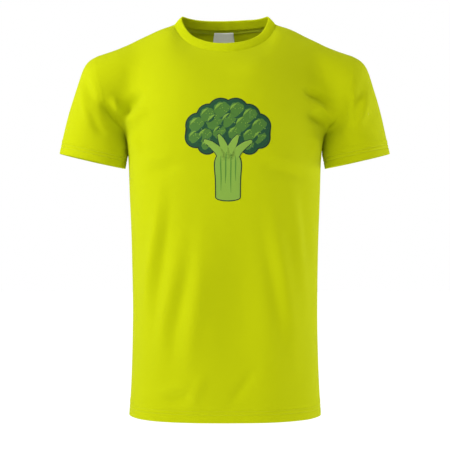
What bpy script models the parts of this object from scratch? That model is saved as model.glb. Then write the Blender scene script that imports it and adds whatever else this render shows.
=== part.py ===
"""A short-sleeved crew-neck T-shirt, in the shape that it takes on a wearer.

Units are metres. +Z is up, the shirt's front faces -Y, and +X is the wearer's left.
The origin is the middle of the neck opening, level with the top of the collar at the shoulders.

The four cut pieces share one smooth form: a coarse half cage, mirrored and subdivided.
Everything sewn or printed on the shirt takes its place from that form.
"""

import math

import bmesh
import bpy
import numpy as np
from mathutils import Vector
from mathutils.bvhtree import BVHTree

# Lengths and widths of the worn shirt
BODY_LENGTH = 0.698
UNDERARM_DROP = 0.205
CHEST_WIDTH = 0.344
WAIST_WIDTH = 0.327
HEM_WIDTH = 0.341
CHEST_DEPTHS = (0.122, 0.112)  # from the side seam to the front, and to the back
WAIST_DEPTHS = (0.110, 0.096)
HEM_DEPTHS = (0.106, 0.102)
WAIST_DROP = 0.550
SECTION_SQUARENESS = 2.5  # 2 is an ellipse, more is boxier

# Shoulders
SHOULDER_WIDTH = 0.430
SHOULDER_DROP = 0.058
SHOULDER_BACK = 0.006  # how far behind the side seams the shoulder seams lie
ARMHOLE_FRONT_DEPTH = 0.068
ARMHOLE_BACK_DEPTH = 0.066
ARMHOLE_SPREAD = 0.022  # how far the upper arms push the armholes out

# Neck seam, where the collar joins the body
NECK_WIDTH = 0.188
NECK_SIDE_DROP = 0.008
NECK_FRONT_DROP = 0.070
NECK_BACK_DROP = 0.012
NECK_FRONT_DEPTH = 0.082
NECK_BACK_DEPTH = 0.066

# Sleeves
ARM_ANGLE = math.radians(13)
SLEEVE_GAP = 0.002  # from the body's side to the cuff's inner edge, before smoothing
SLEEVE_LENGTH = 0.197  # along the top, from the shoulder seam to the cuff
CUFF_WIDTH = 0.125
CUFF_DEPTH = 0.112

# Cloth and making up
FABRIC = 0.0008
CLEARANCE = 0.0003  # between pieces that touch
SEAM_GAP = 0.0006  # between two cut pieces along their seam
RIB_WIDTH = 0.018
RIB_LAYERS = 2
RIB_LEANS = (26, 65, 34)  # degrees inward from upright, at the front, the shoulders and the back
HEM_TURNING = 0.020
CUFF_TURNING = 0.018
TURNING_LAYERS = 2
TURNING_STEP = 0.001  # height over which a turned edge goes back to one layer

# Sewing threads and seam allowances
THREAD = 0.0006
NEEDLE_SPACING = 0.0055
STITCH_EDGE = 0.0015  # from the raw edge of a turning to its nearer needle row
ALLOWANCE_WIDTH = 0.006
ALLOWANCE_THICKNESS = 0.0018
ALLOWANCE_CLEARANCE = 0.0010  # its edges follow the form less closely than a panel does
CROSSING_GAP = 0.004  # between a seam allowance's end and the seam that it runs up to
UNDERARM_GAP = 0.050  # from the underarm to each end of the armhole's allowance
TAPE_WIDTH = 0.009
TAPE_THICKNESS = 0.0006
ALLOWANCE_STEP = 0.009  # along the seam, between the points that shape an allowance
TAPE_STEP = 0.004
TAPE_CLEARANCE = 0.0006
STITCH_LIFT = 0.0012  # of the tape's needle rows, which cross facets at a slant
SEAM_MARGIN = 0.003  # from a seam to the edge of what lies beside it inside
TAPE_END_GAP = 0.016  # from the shoulder seams to the tape's ends
NEEDLE_ROWS = (("upper", STITCH_EDGE), ("lower", STITCH_EDGE + NEEDLE_SPACING))

# Labels
NECK_LABEL_SIZE = (0.034, 0.046)
CARE_LABEL_SIZE = (0.030, 0.055)
CARE_LABEL_HEIGHT = 0.115  # its lower edge, above the shirt's hem
LABEL_THICKNESS = 0.0005
LABEL_CLEARANCE = 0.0006
LABEL_STEPS = 4

# Chest print
PRINT_CENTRE_X = 0.004
CROWN_DROP = 0.206  # from the origin to the crown's middle
CROWN_SIZE = (0.152, 0.104)
CROWN_LOBES = 11
LOBE_BULGE = 0.10  # how far a lobe stands out, as a share of the crown's half size
STALK_WIDTHS = (0.062, 0.050, 0.046)  # where it leaves the crown, half way down, and at its cut end
STALK_LENGTH = 0.080
PRINT_FILM = 0.0003
LOBE_POINTS = 6

# Resolution of the cage, before its subdivision
COLUMNS = 6  # from the middle to the side
NECK_COLUMNS = 3  # of those, the ones that end at the neck
LOWER_ROWS = 6  # from the hem to the underarm
UPPER_ROWS = 5  # from the underarm to the shoulder
SLEEVE_RINGS = 4
PANELS = ("front_panel", "back_panel", "sleeve")

COLOURS = {
    "jersey": (0.60, 0.68, 0.01),
    "rib": (0.57, 0.65, 0.01),
    "thread": (0.62, 0.70, 0.03),
    "tape": (0.52, 0.60, 0.01),
    "label": (0.80, 0.78, 0.80),
    "print": (0.04, 0.20, 0.04),
}


def vector(x, y, z):
    return np.array((x, y, z), float)


def hermite(start, leaving, end, arriving, t):
    """The point at t on the cubic curve with these ends and end tangents."""
    return (
        (2 * t**3 - 3 * t**2 + 1) * start
        + (t**3 - 2 * t**2 + t) * leaving
        + (3 * t**2 - 2 * t**3) * end
        + (t**3 - t**2) * arriving
    )


def evenly_spaced(points, count):
    """Count + 1 points at equal steps along a polyline."""
    points = np.array(points)
    steps = np.linalg.norm(np.diff(points, axis=0), axis=1)
    travelled = np.concatenate([[0], np.cumsum(steps)])
    wanted = np.linspace(0, travelled[-1], count + 1)
    return np.stack([np.interp(wanted, travelled, points[:, k]) for k in range(3)], axis=1)


# ---------------------------------------------------------------- the form


def body_size(drop, face):
    """Half width and depth of the body at a drop below the origin. Face is 0 for front, 1 for back."""
    drops = (UNDERARM_DROP, WAIST_DROP, BODY_LENGTH)
    widths = (CHEST_WIDTH / 2, WAIST_WIDTH / 2, HEM_WIDTH / 2)
    depths = (CHEST_DEPTHS[face], WAIST_DEPTHS[face], HEM_DEPTHS[face])
    upper = drop < drops[1]
    first, second = (0, 1) if upper else (1, 2)
    share = (drop - drops[first]) / (drops[second] - drops[first])
    share = (1 - math.cos(math.pi * share)) / 2
    return (
        widths[first] + (widths[second] - widths[first]) * share,
        depths[first] + (depths[second] - depths[first]) * share,
    )


def body_row(drop, face):
    """Points from the middle of the front or back round to the side seam, at equal steps."""
    width, depth = body_size(drop, face)
    side = -1 if face == 0 else 1
    power = 2 / SECTION_SQUARENESS
    angles = np.linspace(0, math.pi / 2, 60)
    curve = [
        vector(width * math.sin(a) ** power, side * depth * abs(math.cos(a)) ** power, -drop)
        for a in angles
    ]
    return evenly_spaced(curve, COLUMNS)


def neck_seam(face):
    """Points on the neck seam from the middle to the shoulder seam."""
    drop = (NECK_FRONT_DROP, NECK_BACK_DROP)[face]
    depth = (-NECK_FRONT_DEPTH, NECK_BACK_DEPTH)[face]
    angles = np.linspace(0, math.pi / 2, NECK_COLUMNS + 1)
    return [
        vector(
            NECK_WIDTH / 2 * math.sin(a),
            SHOULDER_BACK + (depth - SHOULDER_BACK) * math.cos(a),
            -NECK_SIDE_DROP - (drop - NECK_SIDE_DROP) * math.cos(a),
        )
        for a in angles
    ]


def shoulder_tip():
    return vector(SHOULDER_WIDTH / 2, SHOULDER_BACK, -SHOULDER_DROP)


def top_edge(face):
    """The neck seam, and then the shoulder seam out to the armhole."""
    neck = neck_seam(face)
    tip = shoulder_tip()
    count = COLUMNS - NECK_COLUMNS
    shoulder = [neck[-1] + (tip - neck[-1]) * k / count for k in range(1, count + 1)]
    return neck + shoulder


def armhole(face):
    """Points from the underarm up to the shoulder tip, both included."""
    side = -1 if face == 0 else 1
    depth = (ARMHOLE_FRONT_DEPTH, ARMHOLE_BACK_DEPTH)[face]
    underarm = vector(CHEST_WIDTH / 2, 0, -UNDERARM_DROP)
    height = UNDERARM_DROP - SHOULDER_DROP
    leaving = vector(8 * ARMHOLE_SPREAD, side * 4 * depth, 0.3 * height)
    arriving = vector(0, -side * 4 * depth, 0.6 * height)
    return [
        hermite(underarm, leaving, shoulder_tip(), arriving, j / UPPER_ROWS)
        for j in range(UPPER_ROWS + 1)
    ]


def top_direction(column, face):
    """The way the cloth runs as it reaches the neck seam or the shoulder seam."""
    inward = 1 if face == 0 else -1
    at_neck = max(0.0, 1 - column / NECK_COLUMNS)
    lean = math.radians(82 - 40 * at_neck)  # from upright: nearly level over the shoulder
    return vector(0, inward * math.sin(lean), math.cos(lean))


def panel_grid(face):
    """Rows of points of half the front or back, from the hem to the neck and shoulder seams."""
    drops = np.linspace(BODY_LENGTH, UNDERARM_DROP, LOWER_ROWS + 1)
    rows = [list(body_row(drop, face)) for drop in drops]
    chest, top, hole = rows[-1], top_edge(face), armhole(face)
    for j in range(1, UPPER_ROWS + 1):
        t = j / UPPER_ROWS
        row = []
        for i in range(COLUMNS):
            reach = float(np.linalg.norm(top[i] - chest[i]))
            up = vector(0, 0, 1.1 * reach)
            over = 1.1 * reach * top_direction(i, face)
            row.append(hermite(chest[i], up, top[i], over, t))
        rows.append(row + [hole[j]])
    return rows


def arm_axis():
    return vector(math.sin(ARM_ANGLE), 0, -math.cos(ARM_ANGLE))


def cuff_centre():
    """The middle of the sleeve's opening, which hangs just outside the body's side."""
    across = vector(math.cos(ARM_ANGLE), 0, math.sin(ARM_ANGLE))
    tip = shoulder_tip()
    outer_x = CHEST_WIDTH / 2 + SLEEVE_GAP + CUFF_WIDTH * across[0]
    fall = math.sqrt(SLEEVE_LENGTH**2 - (outer_x - tip[0]) ** 2)
    return vector(outer_x, 0, tip[2] - fall) - across * CUFF_WIDTH / 2


def cuff_point(angle):
    """A point on the cuff. Angle 0 is next to the body, and a quarter turn is the front."""
    across = vector(math.cos(ARM_ANGLE), 0, math.sin(ARM_ANGLE))
    return (
        cuff_centre()
        - across * CUFF_WIDTH / 2 * math.cos(angle)
        - vector(0, CUFF_DEPTH / 2, 0) * math.sin(angle)
    )


def sleeve_grid():
    """Rings of points of the wearer's left sleeve, from the armhole to the cuff."""
    loop = armhole(0) + armhole(1)[-2:0:-1]
    over_shoulder = vector(1.0, 0, -0.5)
    rings = [[] for _ in range(SLEEVE_RINGS + 1)]
    for k, start in enumerate(loop):
        angle = 2 * math.pi * k / len(loop)
        end = cuff_point(angle)
        reach = float(np.linalg.norm(end - start))
        outer = (1 - math.cos(angle)) / 2
        direction = over_shoulder * outer + arm_axis() * (1 - outer)
        leaving = reach * direction / np.linalg.norm(direction)
        for ring in range(SLEEVE_RINGS + 1):
            t = ring / SLEEVE_RINGS
            rings[ring].append(hermite(start, leaving, end, reach * arm_axis(), t))
    return rings


def add_grid(cage, rows, panel, closed=False):
    """Adds a grid of quads that belong to one panel, and returns its first column."""
    verts = [[cage.verts.new(point) for point in row] for row in rows]
    width = len(rows[0]) if closed else len(rows[0]) - 1
    for low, high in zip(verts, verts[1:]):
        for i in range(width):
            j = (i + 1) % len(low)
            face = cage.faces.new((low[i], low[j], high[j], high[i]))
            face.material_index = PANELS.index(panel)
            face.smooth = True
    return [row[0] for row in verts]


def make_form():
    """The whole shirt as one smooth open mesh, whose material indices say which panel a face is in."""
    cage = bmesh.new()
    add_grid(cage, panel_grid(0), "front_panel")
    add_grid(cage, [row[::-1] for row in panel_grid(1)], "back_panel")
    underarm = add_grid(cage, sleeve_grid()[::-1], "sleeve", closed=True)
    for low, high in zip(underarm, underarm[1:]):
        cage.edges.get((low, high)).seam = True
    bmesh.ops.remove_doubles(cage, verts=cage.verts, dist=1e-6)
    mesh = bpy.data.meshes.new("form_cage")
    cage.to_mesh(mesh)
    cage.free()
    for panel in PANELS:
        mesh.materials.append(bpy.data.materials.new("form_" + panel))
    form = helper("form", mesh)
    mirror = form.modifiers.new("both_sides", "MIRROR")
    mirror.merge_threshold = 1e-5
    smooth = form.modifiers.new("smooth", "SUBSURF")
    smooth.levels = smooth.render_levels = 1
    form.modifiers.new("facets", "TRIANGULATE")
    return evaluated_mesh(form)


# ---------------------------------------------------------------- helpers


def collection(name):
    made = bpy.data.collections.new(name)
    bpy.context.scene.collection.children.link(made)
    return made


def make_materials():
    for name, colour in COLOURS.items():
        material = bpy.data.materials.new(name)
        material.use_nodes = True
        shader = material.node_tree.nodes["Principled BSDF"]
        shader.inputs["Base Color"].default_value = (*colour, 1)
        shader.inputs["Roughness"].default_value = 0.45 if name == "label" else 0.85
        shader.inputs["Metallic"].default_value = 0.0


def helper(name, data):
    """An object that shapes others and is no part of the shirt."""
    made = bpy.data.objects.new(name, data)
    HELPERS.objects.link(made)
    made.hide_render = True
    made.display_type = "WIRE"
    return made


def add_piece(name, data, material):
    made = bpy.data.objects.new(name, data)
    SHIRT.objects.link(made)
    data.materials.clear()
    data.materials.append(bpy.data.materials[material])
    return made


def solidify(piece, thickness, offset=-1.0):
    """Gives an open surface its thickness, to the inside with an offset of -1."""
    modifier = piece.modifiers.new("thickness", "SOLIDIFY")
    modifier.thickness = thickness
    modifier.offset = offset
    modifier.use_even_offset = True
    return modifier


def evaluated_mesh(piece):
    bpy.context.view_layer.update()
    graph = bpy.context.evaluated_depsgraph_get()
    return bpy.data.meshes.new_from_object(piece.evaluated_get(graph))


def panel_tree(panel):
    """The form's facets of one panel, for finding the nearest point of it."""
    faces = [tuple(face.vertices) for face in FORM.polygons if PANELS[face.material_index] == panel]
    return BVHTree.FromPolygons([vert.co for vert in FORM.vertices], faces)


def on_panel(point, panel, reach=0.004):
    """The panel's nearest point, and the outward direction of its facets round it."""
    place = TREES[panel].find_nearest(point)[0]
    found = TREES[panel].find_nearest_range(place, reach)
    return place, sum((hit[1] for hit in found), Vector()).normalized()


def walk(edges):
    """The verts of one unbroken run of edges, in order. A closed run ends with its first vert again."""
    joined = {}
    for edge in edges:
        for vert in edge.verts:
            joined.setdefault(vert, []).append(edge.other_vert(vert))
    ends = [vert for vert, others in joined.items() if len(others) == 1]
    first = min(ends or joined, key=lambda vert: tuple(round(k, 5) for k in vert.co))
    run, previous = [first], None
    while run[-1] is not first or previous is None:
        onward = [vert for vert in joined[run[-1]] if vert is not previous]
        if not onward:
            break
        previous = run[-1]
        run.append(onward[0])
    return run


def seam_line(wanted):
    """The points of the run of form edges for which wanted(edge, panels, middle) is true."""
    work = bmesh.new()
    work.from_mesh(FORM)
    found = []
    for edge in work.edges:
        panels = {PANELS[face.material_index] for face in edge.link_faces}
        middle = (edge.verts[0].co + edge.verts[1].co) / 2
        if wanted(edge, panels, middle):
            found.append(edge)
    points = [vert.co.copy() for vert in walk(found)]
    work.free()
    return points


def resampled(points, spacing, start=0.0, end=0.0):
    """Evenly spaced points along a line, from start past its beginning to end before its end."""
    rows = np.array([tuple(point) for point in points])
    travelled = np.concatenate([[0], np.cumsum(np.linalg.norm(np.diff(rows, axis=0), axis=1))])
    length = travelled[-1] - start - end
    wanted = start + length * np.linspace(0, 1, max(2, round(length / spacing) + 1))
    return [Vector([np.interp(at, travelled, rows[:, k]) for k in range(3)]) for at in wanted]


def directions(line, closed=False):
    """The unit direction of a line at each of its points."""
    last = len(line) - 1
    if closed:
        return [(line[(k + 1) % len(line)] - line[k - 1]).normalized() for k in range(len(line))]
    return [(line[min(k + 1, last)] - line[max(k - 1, 0)]).normalized() for k in range(len(line))]


def side_rows(line, panel, distances, depth):
    """Rows on a panel beside a line, to the right of its travel, each so deep inside the surface."""
    rows = [[] for _ in distances]
    for point, along in zip(line, directions(line)):
        across = along.cross(on_panel(point, panel)[1]).normalized()
        for row, distance in zip(rows, distances):
            place, normal = on_panel(point + across * distance, panel)
            row.append(place - normal * depth)
    return rows


def add_strip(name, rows, inward, thickness, material, closed=False):
    """A band of cloth between rows of points, thickened inward from its first facet."""
    work = bmesh.new()
    verts = [[work.verts.new(point) for point in row] for row in rows]
    count = len(rows[0]) if closed else len(rows[0]) - 1
    for lower, upper in zip(verts, verts[1:]):
        for i in range(count):
            j = (i + 1) % len(lower)
            work.faces.new((lower[i], lower[j], upper[j], upper[i]))
    work.normal_update()
    if next(iter(work.faces)).normal.dot(inward) > 0:
        bmesh.ops.reverse_faces(work, faces=work.faces)
    mesh = bpy.data.meshes.new(name)
    work.to_mesh(mesh)
    work.free()
    mesh.shade_smooth()
    piece = add_piece(name, mesh, material)
    solidify(piece, thickness)


def add_flat_piece(name, line, panel, distances, clearance, thickness, material):
    """A narrow piece that lies against the inside of a panel, beside a line."""
    rows = side_rows(line, panel, distances, FABRIC + clearance)
    inward = -on_panel(rows[0][0], panel)[1]
    add_strip(name, rows, inward, thickness, material)


def add_thread(name, points, closed=False):
    """A row of stitches as one thin round line."""
    curve = bpy.data.curves.new(name, "CURVE")
    curve.dimensions = "3D"
    curve.bevel_depth = THREAD / 2
    curve.bevel_resolution = 0
    curve.use_fill_caps = True
    spline = curve.splines.new("POLY")
    spline.points.add(len(points) - 1)
    for target, point in zip(spline.points, points):
        target.co = (*point, 1)
    spline.use_cyclic_u = closed
    return add_piece(name, curve, "thread")


# ---------------------------------------------------------------- cut pieces


def shrink_from_seams(work, free_edges):
    """Draws a panel's sewn edges back, by half of the gap between two panels."""
    shifts = {}
    for edge in work.edges:
        if len(edge.link_faces) != 1 or edge in free_edges:
            continue
        face = edge.link_faces[0]
        along = edge.verts[1].co - edge.verts[0].co
        inward = face.normal.cross(along).normalized()
        if inward.dot(face.calc_center_median() - edge.verts[0].co) < 0:
            inward.negate()
        for vert in edge.verts:
            shifts.setdefault(vert, []).append(inward)
    for vert, ways in shifts.items():
        total = sum(ways, Vector())
        corner = 1 + ways[0].dot(ways[-1])
        vert.co += total * (SEAM_GAP / 2) / (corner if len(ways) > 1 else 1)


def add_panel(name, panel, side, edge_point, edge_normal, turning):
    """One cut piece. Its turned edge lies in the given plane, whose normal points into the piece."""
    work = bmesh.new()
    work.from_mesh(FORM)
    free_edges = {edge for edge in work.edges if len(edge.link_faces) == 1}
    others = [
        face
        for face in work.faces
        if PANELS[face.material_index] != panel or face.calc_center_median().x * side < 0
    ]
    bmesh.ops.delete(work, geom=others, context="FACES")
    shrink_from_seams(work, free_edges)
    for height in (turning, turning + TURNING_STEP):
        bmesh.ops.bisect_plane(
            work,
            geom=work.verts[:] + work.edges[:] + work.faces[:],
            plane_co=edge_point + edge_normal * height,
            plane_no=edge_normal,
        )
    mesh = bpy.data.meshes.new(name)
    work.to_mesh(mesh)
    work.free()
    mesh.shade_smooth()
    piece = add_piece(name, mesh, "jersey")
    layers = piece.vertex_groups.new(name="layers")
    for vert in mesh.vertices:
        height = (vert.co - edge_point).dot(edge_normal)
        turned = height < turning + TURNING_STEP / 2
        layers.add([vert.index], 1.0 if turned else 1 / TURNING_LAYERS, "REPLACE")
    solidify(piece, FABRIC * TURNING_LAYERS).vertex_group = "layers"


def cuff_plane(side):
    """The plane of a sleeve's opening, with its normal up the arm. Side is 1 for the left sleeve."""
    centre, axis = cuff_centre(), arm_axis()
    mirror = vector(side, 1, 1)
    return Vector(centre * mirror), Vector(-axis * mirror)


def make_panels():
    hem = Vector((0, 0, -BODY_LENGTH))
    up = Vector((0, 0, 1))
    add_panel("front_panel", "front_panel", 0, hem, up, HEM_TURNING)
    add_panel("back_panel", "back_panel", 0, hem, up, HEM_TURNING)
    for name, side in SIDES:
        add_panel(name + "_sleeve", "sleeve", side, *cuff_plane(side), CUFF_TURNING)


def rib_lean(point):
    """How far the rib leans in over the neck: most on the shoulders, where it follows their slope."""
    front, side, back = RIB_LEANS
    angle = math.atan2(point.x, point.y - SHOULDER_BACK)
    middle = back if point.y > SHOULDER_BACK else front
    return math.radians(middle * math.cos(angle) ** 2 + side * math.sin(angle) ** 2)


def make_neck_rib():
    """A folded band that stands up from the neck seam and leans in over the neck."""
    seam = neck_line("front_panel")[:-1] + neck_line("back_panel")[:-1]
    rows = [[], [], []]
    for point, along in zip(seam, directions(seam, closed=True)):
        inward = Vector((along.y, -along.x, 0)).normalized()
        if inward.dot(Vector((0, SHOULDER_BACK, 0)) - point) < 0:
            inward.negate()
        lean = rib_lean(point)
        up = inward * math.sin(lean) + Vector((0, 0, math.cos(lean)))
        for row, height in zip(rows, (SEAM_GAP, (SEAM_GAP + RIB_WIDTH) / 2, RIB_WIDTH)):
            row.append(point + up * height)
    inward = Vector((0, SHOULDER_BACK, rows[0][0].z)) - rows[0][0]
    add_strip("neck_rib", rows, inward, FABRIC * RIB_LAYERS, "rib", closed=True)


# ---------------------------------------------------------------- seams and stitching


def neck_line(panel):
    """The neck seam of the front from right to left, or of the back from left to right."""

    def wanted(edge, panels, middle):
        return len(edge.link_faces) == 1 and panels == {panel} and middle.z > -UNDERARM_DROP / 2

    line = seam_line(wanted)
    return line if panel == "front_panel" else line[::-1]


def side_line(side):
    """The side seam from the hem up to the underarm."""

    def wanted(edge, panels, middle):
        return len(panels) == 2 and "sleeve" not in panels and on_side(middle, side, below=True)

    line = seam_line(wanted)
    return line if line[0].z < line[-1].z else line[::-1]


def shoulder_line(side):
    """The shoulder seam from the neck out to the sleeve."""

    def wanted(edge, panels, middle):
        return len(panels) == 2 and "sleeve" not in panels and on_side(middle, side, below=False)

    line = seam_line(wanted)
    return line if abs(line[0].x) < abs(line[-1].x) else line[::-1]


def armhole_line(side):
    """The closed seam between the body and a sleeve, up the front from the underarm."""

    def wanted(edge, panels, middle):
        return len(panels) == 2 and "sleeve" in panels and middle.x * side > 0

    line = seam_line(wanted)[:-1]
    lowest = min(range(len(line)), key=lambda k: line[k].z)
    line = line[lowest:] + line[:lowest]
    return line if line[1].y < line[-1].y else [line[0]] + line[:0:-1]


def sleeve_line(side):
    """The sleeve's seam from the cuff up to the underarm."""

    def wanted(edge, panels, middle):
        return edge.seam and middle.x * side > 0

    line = seam_line(wanted)
    return line if line[0].z < line[-1].z else line[::-1]


def on_side(point, side, below):
    return point.x * side > 0 and (point.z < -UNDERARM_DROP / 2) == below


def add_allowance(name, line, panel, side, start, end):
    """An overlocked seam allowance, turned to the right of the line's travel where side is 1."""
    line = resampled(line, ALLOWANCE_STEP, start, end)
    distances = (side * SEAM_MARGIN, side * (SEAM_MARGIN + ALLOWANCE_WIDTH))
    add_flat_piece(name, line, panel, distances, ALLOWANCE_CLEARANCE, ALLOWANCE_THICKNESS, "thread")


def make_seam_allowances():
    past_armhole = SEAM_MARGIN + ALLOWANCE_WIDTH + CROSSING_GAP
    past_turning = TURNING_STEP + CROSSING_GAP
    for name, side in SIDES:
        start = HEM_TURNING + past_turning
        line = side_line(side)
        add_allowance(name + "_side_seam", line, "back_panel", side, start, CROSSING_GAP)
        start = TAPE_WIDTH + CROSSING_GAP
        line = shoulder_line(side)
        add_allowance(name + "_shoulder_seam", line, "back_panel", -side, start, CROSSING_GAP)
        start = CUFF_TURNING + past_turning
        line = sleeve_line(side)
        add_allowance(name + "_sleeve_seam", line, "sleeve", side, start, past_armhole)
        line = armhole_line(side)
        line = line + line[:1]
        add_allowance(name + "_armhole_seam", line, "sleeve", side, UNDERARM_GAP, UNDERARM_GAP)
    line = neck_line("front_panel")
    add_allowance("front_neck_seam", line, "front_panel", 1, CROSSING_GAP, CROSSING_GAP)


def ring_of_stitches(name, panels, side, plane_point, plane_normal):
    """A closed row of stitches on the outside, where a plane crosses the given panels."""
    work = bmesh.new()
    work.from_mesh(FORM)
    others = [
        face
        for face in work.faces
        if PANELS[face.material_index] not in panels or face.calc_center_median().x * side < 0
    ]
    bmesh.ops.delete(work, geom=others, context="FACES")
    cut = bmesh.ops.bisect_plane(
        work,
        geom=work.verts[:] + work.edges[:] + work.faces[:],
        plane_co=plane_point,
        plane_no=plane_normal,
    )
    work.normal_update()
    edges = [item for item in cut["geom_cut"] if isinstance(item, bmesh.types.BMEdge)]
    lift = THREAD / 2 + CLEARANCE
    points = [vert.co + vert.normal * lift for vert in walk(edges)[:-1]]
    work.free()
    add_thread(name, points, closed=True)


def make_edge_stitching():
    """Two needle rows through each turning: the upper one just inside the raw edge."""
    hem = Vector((0, 0, -BODY_LENGTH))
    up = Vector((0, 0, 1))
    for row, drop in NEEDLE_ROWS:
        place = hem + up * (HEM_TURNING - drop)
        ring_of_stitches("hem_stitch_" + row, PANELS[:2], 0, place, up)
        for name, side in SIDES:
            edge, inward = cuff_plane(side)
            place = edge + inward * (CUFF_TURNING - drop)
            ring_of_stitches(name + "_cuff_stitch_" + row, PANELS[2:], side, place, inward)


def make_neck_tape():
    """A tape over the back neck seam, inside, with a needle row near each edge seen outside."""
    seam = neck_line("back_panel")
    line = resampled(seam, TAPE_STEP, TAPE_END_GAP, TAPE_END_GAP)
    add_flat_piece(
        "neck_tape", line, "back_panel", (0.0, TAPE_WIDTH), TAPE_CLEARANCE, TAPE_THICKNESS, "tape"
    )
    distances = (STITCH_EDGE, TAPE_WIDTH - STITCH_EDGE)
    rows = side_rows(line, "back_panel", distances, -STITCH_LIFT)
    for name, row in zip(("tape_stitch_upper", "tape_stitch_lower"), rows):
        add_thread(name, row)


# ---------------------------------------------------------------- labels and print


def line_length(line):
    return sum((after - before).length for before, after in zip(line, line[1:]))


def make_neck_label():
    """A blank label that hangs from the tape, inside the middle of the back."""
    width, height = NECK_LABEL_SIZE
    seam = neck_line("back_panel")
    margin = (line_length(seam) - width) / 2
    line = resampled(seam, width / LABEL_STEPS, margin, margin)
    top = TAPE_WIDTH + CLEARANCE
    distances = [top + height * k / LABEL_STEPS for k in range(LABEL_STEPS + 1)]
    add_flat_piece(
        "neck_label", line, "back_panel", distances, LABEL_CLEARANCE, LABEL_THICKNESS, "label"
    )


def make_care_label():
    """A blank label in the left side seam, lying forward against the inside of the front."""
    width, height = CARE_LABEL_SIZE
    seam = side_line(1)
    above = line_length(seam) - CARE_LABEL_HEIGHT - height
    line = resampled(seam, height / LABEL_STEPS, CARE_LABEL_HEIGHT, above)
    distances = [-SEAM_MARGIN - width * k / LABEL_STEPS for k in range(LABEL_STEPS + 1)]
    add_flat_piece(
        "care_label", line, "front_panel", distances, LABEL_CLEARANCE, LABEL_THICKNESS, "label"
    )


def crown_outline():
    """A wide oval with round lobes."""
    points = []
    for k in range(CROWN_LOBES * LOBE_POINTS):
        angle = 2 * math.pi * k / (CROWN_LOBES * LOBE_POINTS)
        bulge = abs(math.sin(CROWN_LOBES * angle / 2))
        reach = 1 - LOBE_BULGE + LOBE_BULGE * bulge
        x = CROWN_SIZE[0] / 2 * reach * math.sin(angle)
        z = CROWN_SIZE[1] / 2 * reach * math.cos(angle)
        points.append((PRINT_CENTRE_X + x, z - CROWN_DROP))
    return points


def stalk_outline():
    """A stalk that narrows downwards, starting well inside the crown."""
    top, middle, end = (width / 2 for width in STALK_WIDTHS)
    join = -CROWN_DROP - CROWN_SIZE[1] / 4
    rows = ((join, top), (join - STALK_LENGTH / 2, middle), (join - STALK_LENGTH, end))
    right = [(PRINT_CENTRE_X + half, z) for z, half in rows]
    left = [(PRINT_CENTRE_X - half, z) for z, half in rows[::-1]]
    return right + left


def print_cutter(name, outline):
    """A prism with this outline in X and Z, deep enough to pass through the shirt's front."""
    curve = bpy.data.curves.new(name, "CURVE")
    curve.dimensions = "2D"
    curve.fill_mode = "BOTH"
    curve.extrude = 0.1
    spline = curve.splines.new("POLY")
    spline.points.add(len(outline) - 1)
    for target, (x, z) in zip(spline.points, outline):
        target.co = (x, z, 0, 1)
    spline.use_cyclic_u = True
    flat = helper(name + "_curve", curve)
    flat.rotation_euler = (math.pi / 2, 0, 0)
    flat.location = (0, -0.13, 0)
    mesh = evaluated_mesh(flat)
    mesh.transform(flat.matrix_world)
    bpy.data.objects.remove(flat)
    work = bmesh.new()
    work.from_mesh(mesh)
    bmesh.ops.remove_doubles(work, verts=work.verts, dist=1e-6)
    bmesh.ops.recalc_face_normals(work, faces=work.faces)
    work.to_mesh(mesh)
    work.free()
    return helper(name, mesh)


def make_chest_print():
    """A film of ink on the front, in the outline of a head of broccoli."""
    crown = print_cutter("crown", crown_outline())
    stalk = print_cutter("stalk", stalk_outline())
    join = crown.modifiers.new("join", "BOOLEAN")
    join.operation = "UNION"
    join.object = stalk
    work = bmesh.new()
    work.from_mesh(FORM)
    others = [face for face in work.faces if PANELS[face.material_index] != "front_panel"]
    bmesh.ops.delete(work, geom=others, context="FACES")
    work.normal_update()
    for vert in work.verts:
        vert.co += vert.normal * CLEARANCE
    mesh = bpy.data.meshes.new("chest_print")
    work.to_mesh(mesh)
    work.free()
    film = add_piece("chest_print", mesh, "print")
    solidify(film, PRINT_FILM, offset=1.0)
    cut = film.modifiers.new("outline", "BOOLEAN")
    cut.operation = "INTERSECT"
    cut.object = crown


for old in list(bpy.data.objects):
    bpy.data.objects.remove(old)
SHIRT = collection("printed_t_shirt")
HELPERS = collection("helpers")
SIDES = (("left", 1), ("right", -1))
make_materials()
FORM = make_form()
TREES = {panel: panel_tree(panel) for panel in PANELS}
make_panels()
make_neck_rib()
make_seam_allowances()
make_edge_stitching()
make_neck_tape()
make_neck_label()
make_care_label()
make_chest_print()
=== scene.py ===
"""The looks of a printed T-shirt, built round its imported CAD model. Units are metres and +Z is up."""

import math

import bmesh
import bpy
import numpy as np
from mathutils import Matrix, Vector, noise
from mathutils.bvhtree import BVHTree
from mathutils.kdtree import KDTree


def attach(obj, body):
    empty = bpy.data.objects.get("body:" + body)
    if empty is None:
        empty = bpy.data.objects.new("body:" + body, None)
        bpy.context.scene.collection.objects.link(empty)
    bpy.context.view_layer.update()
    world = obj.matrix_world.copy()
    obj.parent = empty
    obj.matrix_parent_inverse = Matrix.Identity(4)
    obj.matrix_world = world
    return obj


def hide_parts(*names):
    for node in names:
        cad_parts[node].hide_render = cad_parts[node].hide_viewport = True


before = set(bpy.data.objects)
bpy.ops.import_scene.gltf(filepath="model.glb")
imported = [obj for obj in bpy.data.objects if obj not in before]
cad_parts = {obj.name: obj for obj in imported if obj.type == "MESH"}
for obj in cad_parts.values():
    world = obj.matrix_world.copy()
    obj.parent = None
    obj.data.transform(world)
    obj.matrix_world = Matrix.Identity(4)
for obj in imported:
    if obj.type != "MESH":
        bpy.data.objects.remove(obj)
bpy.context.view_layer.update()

# ---- sizes, as in the CAD model

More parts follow.
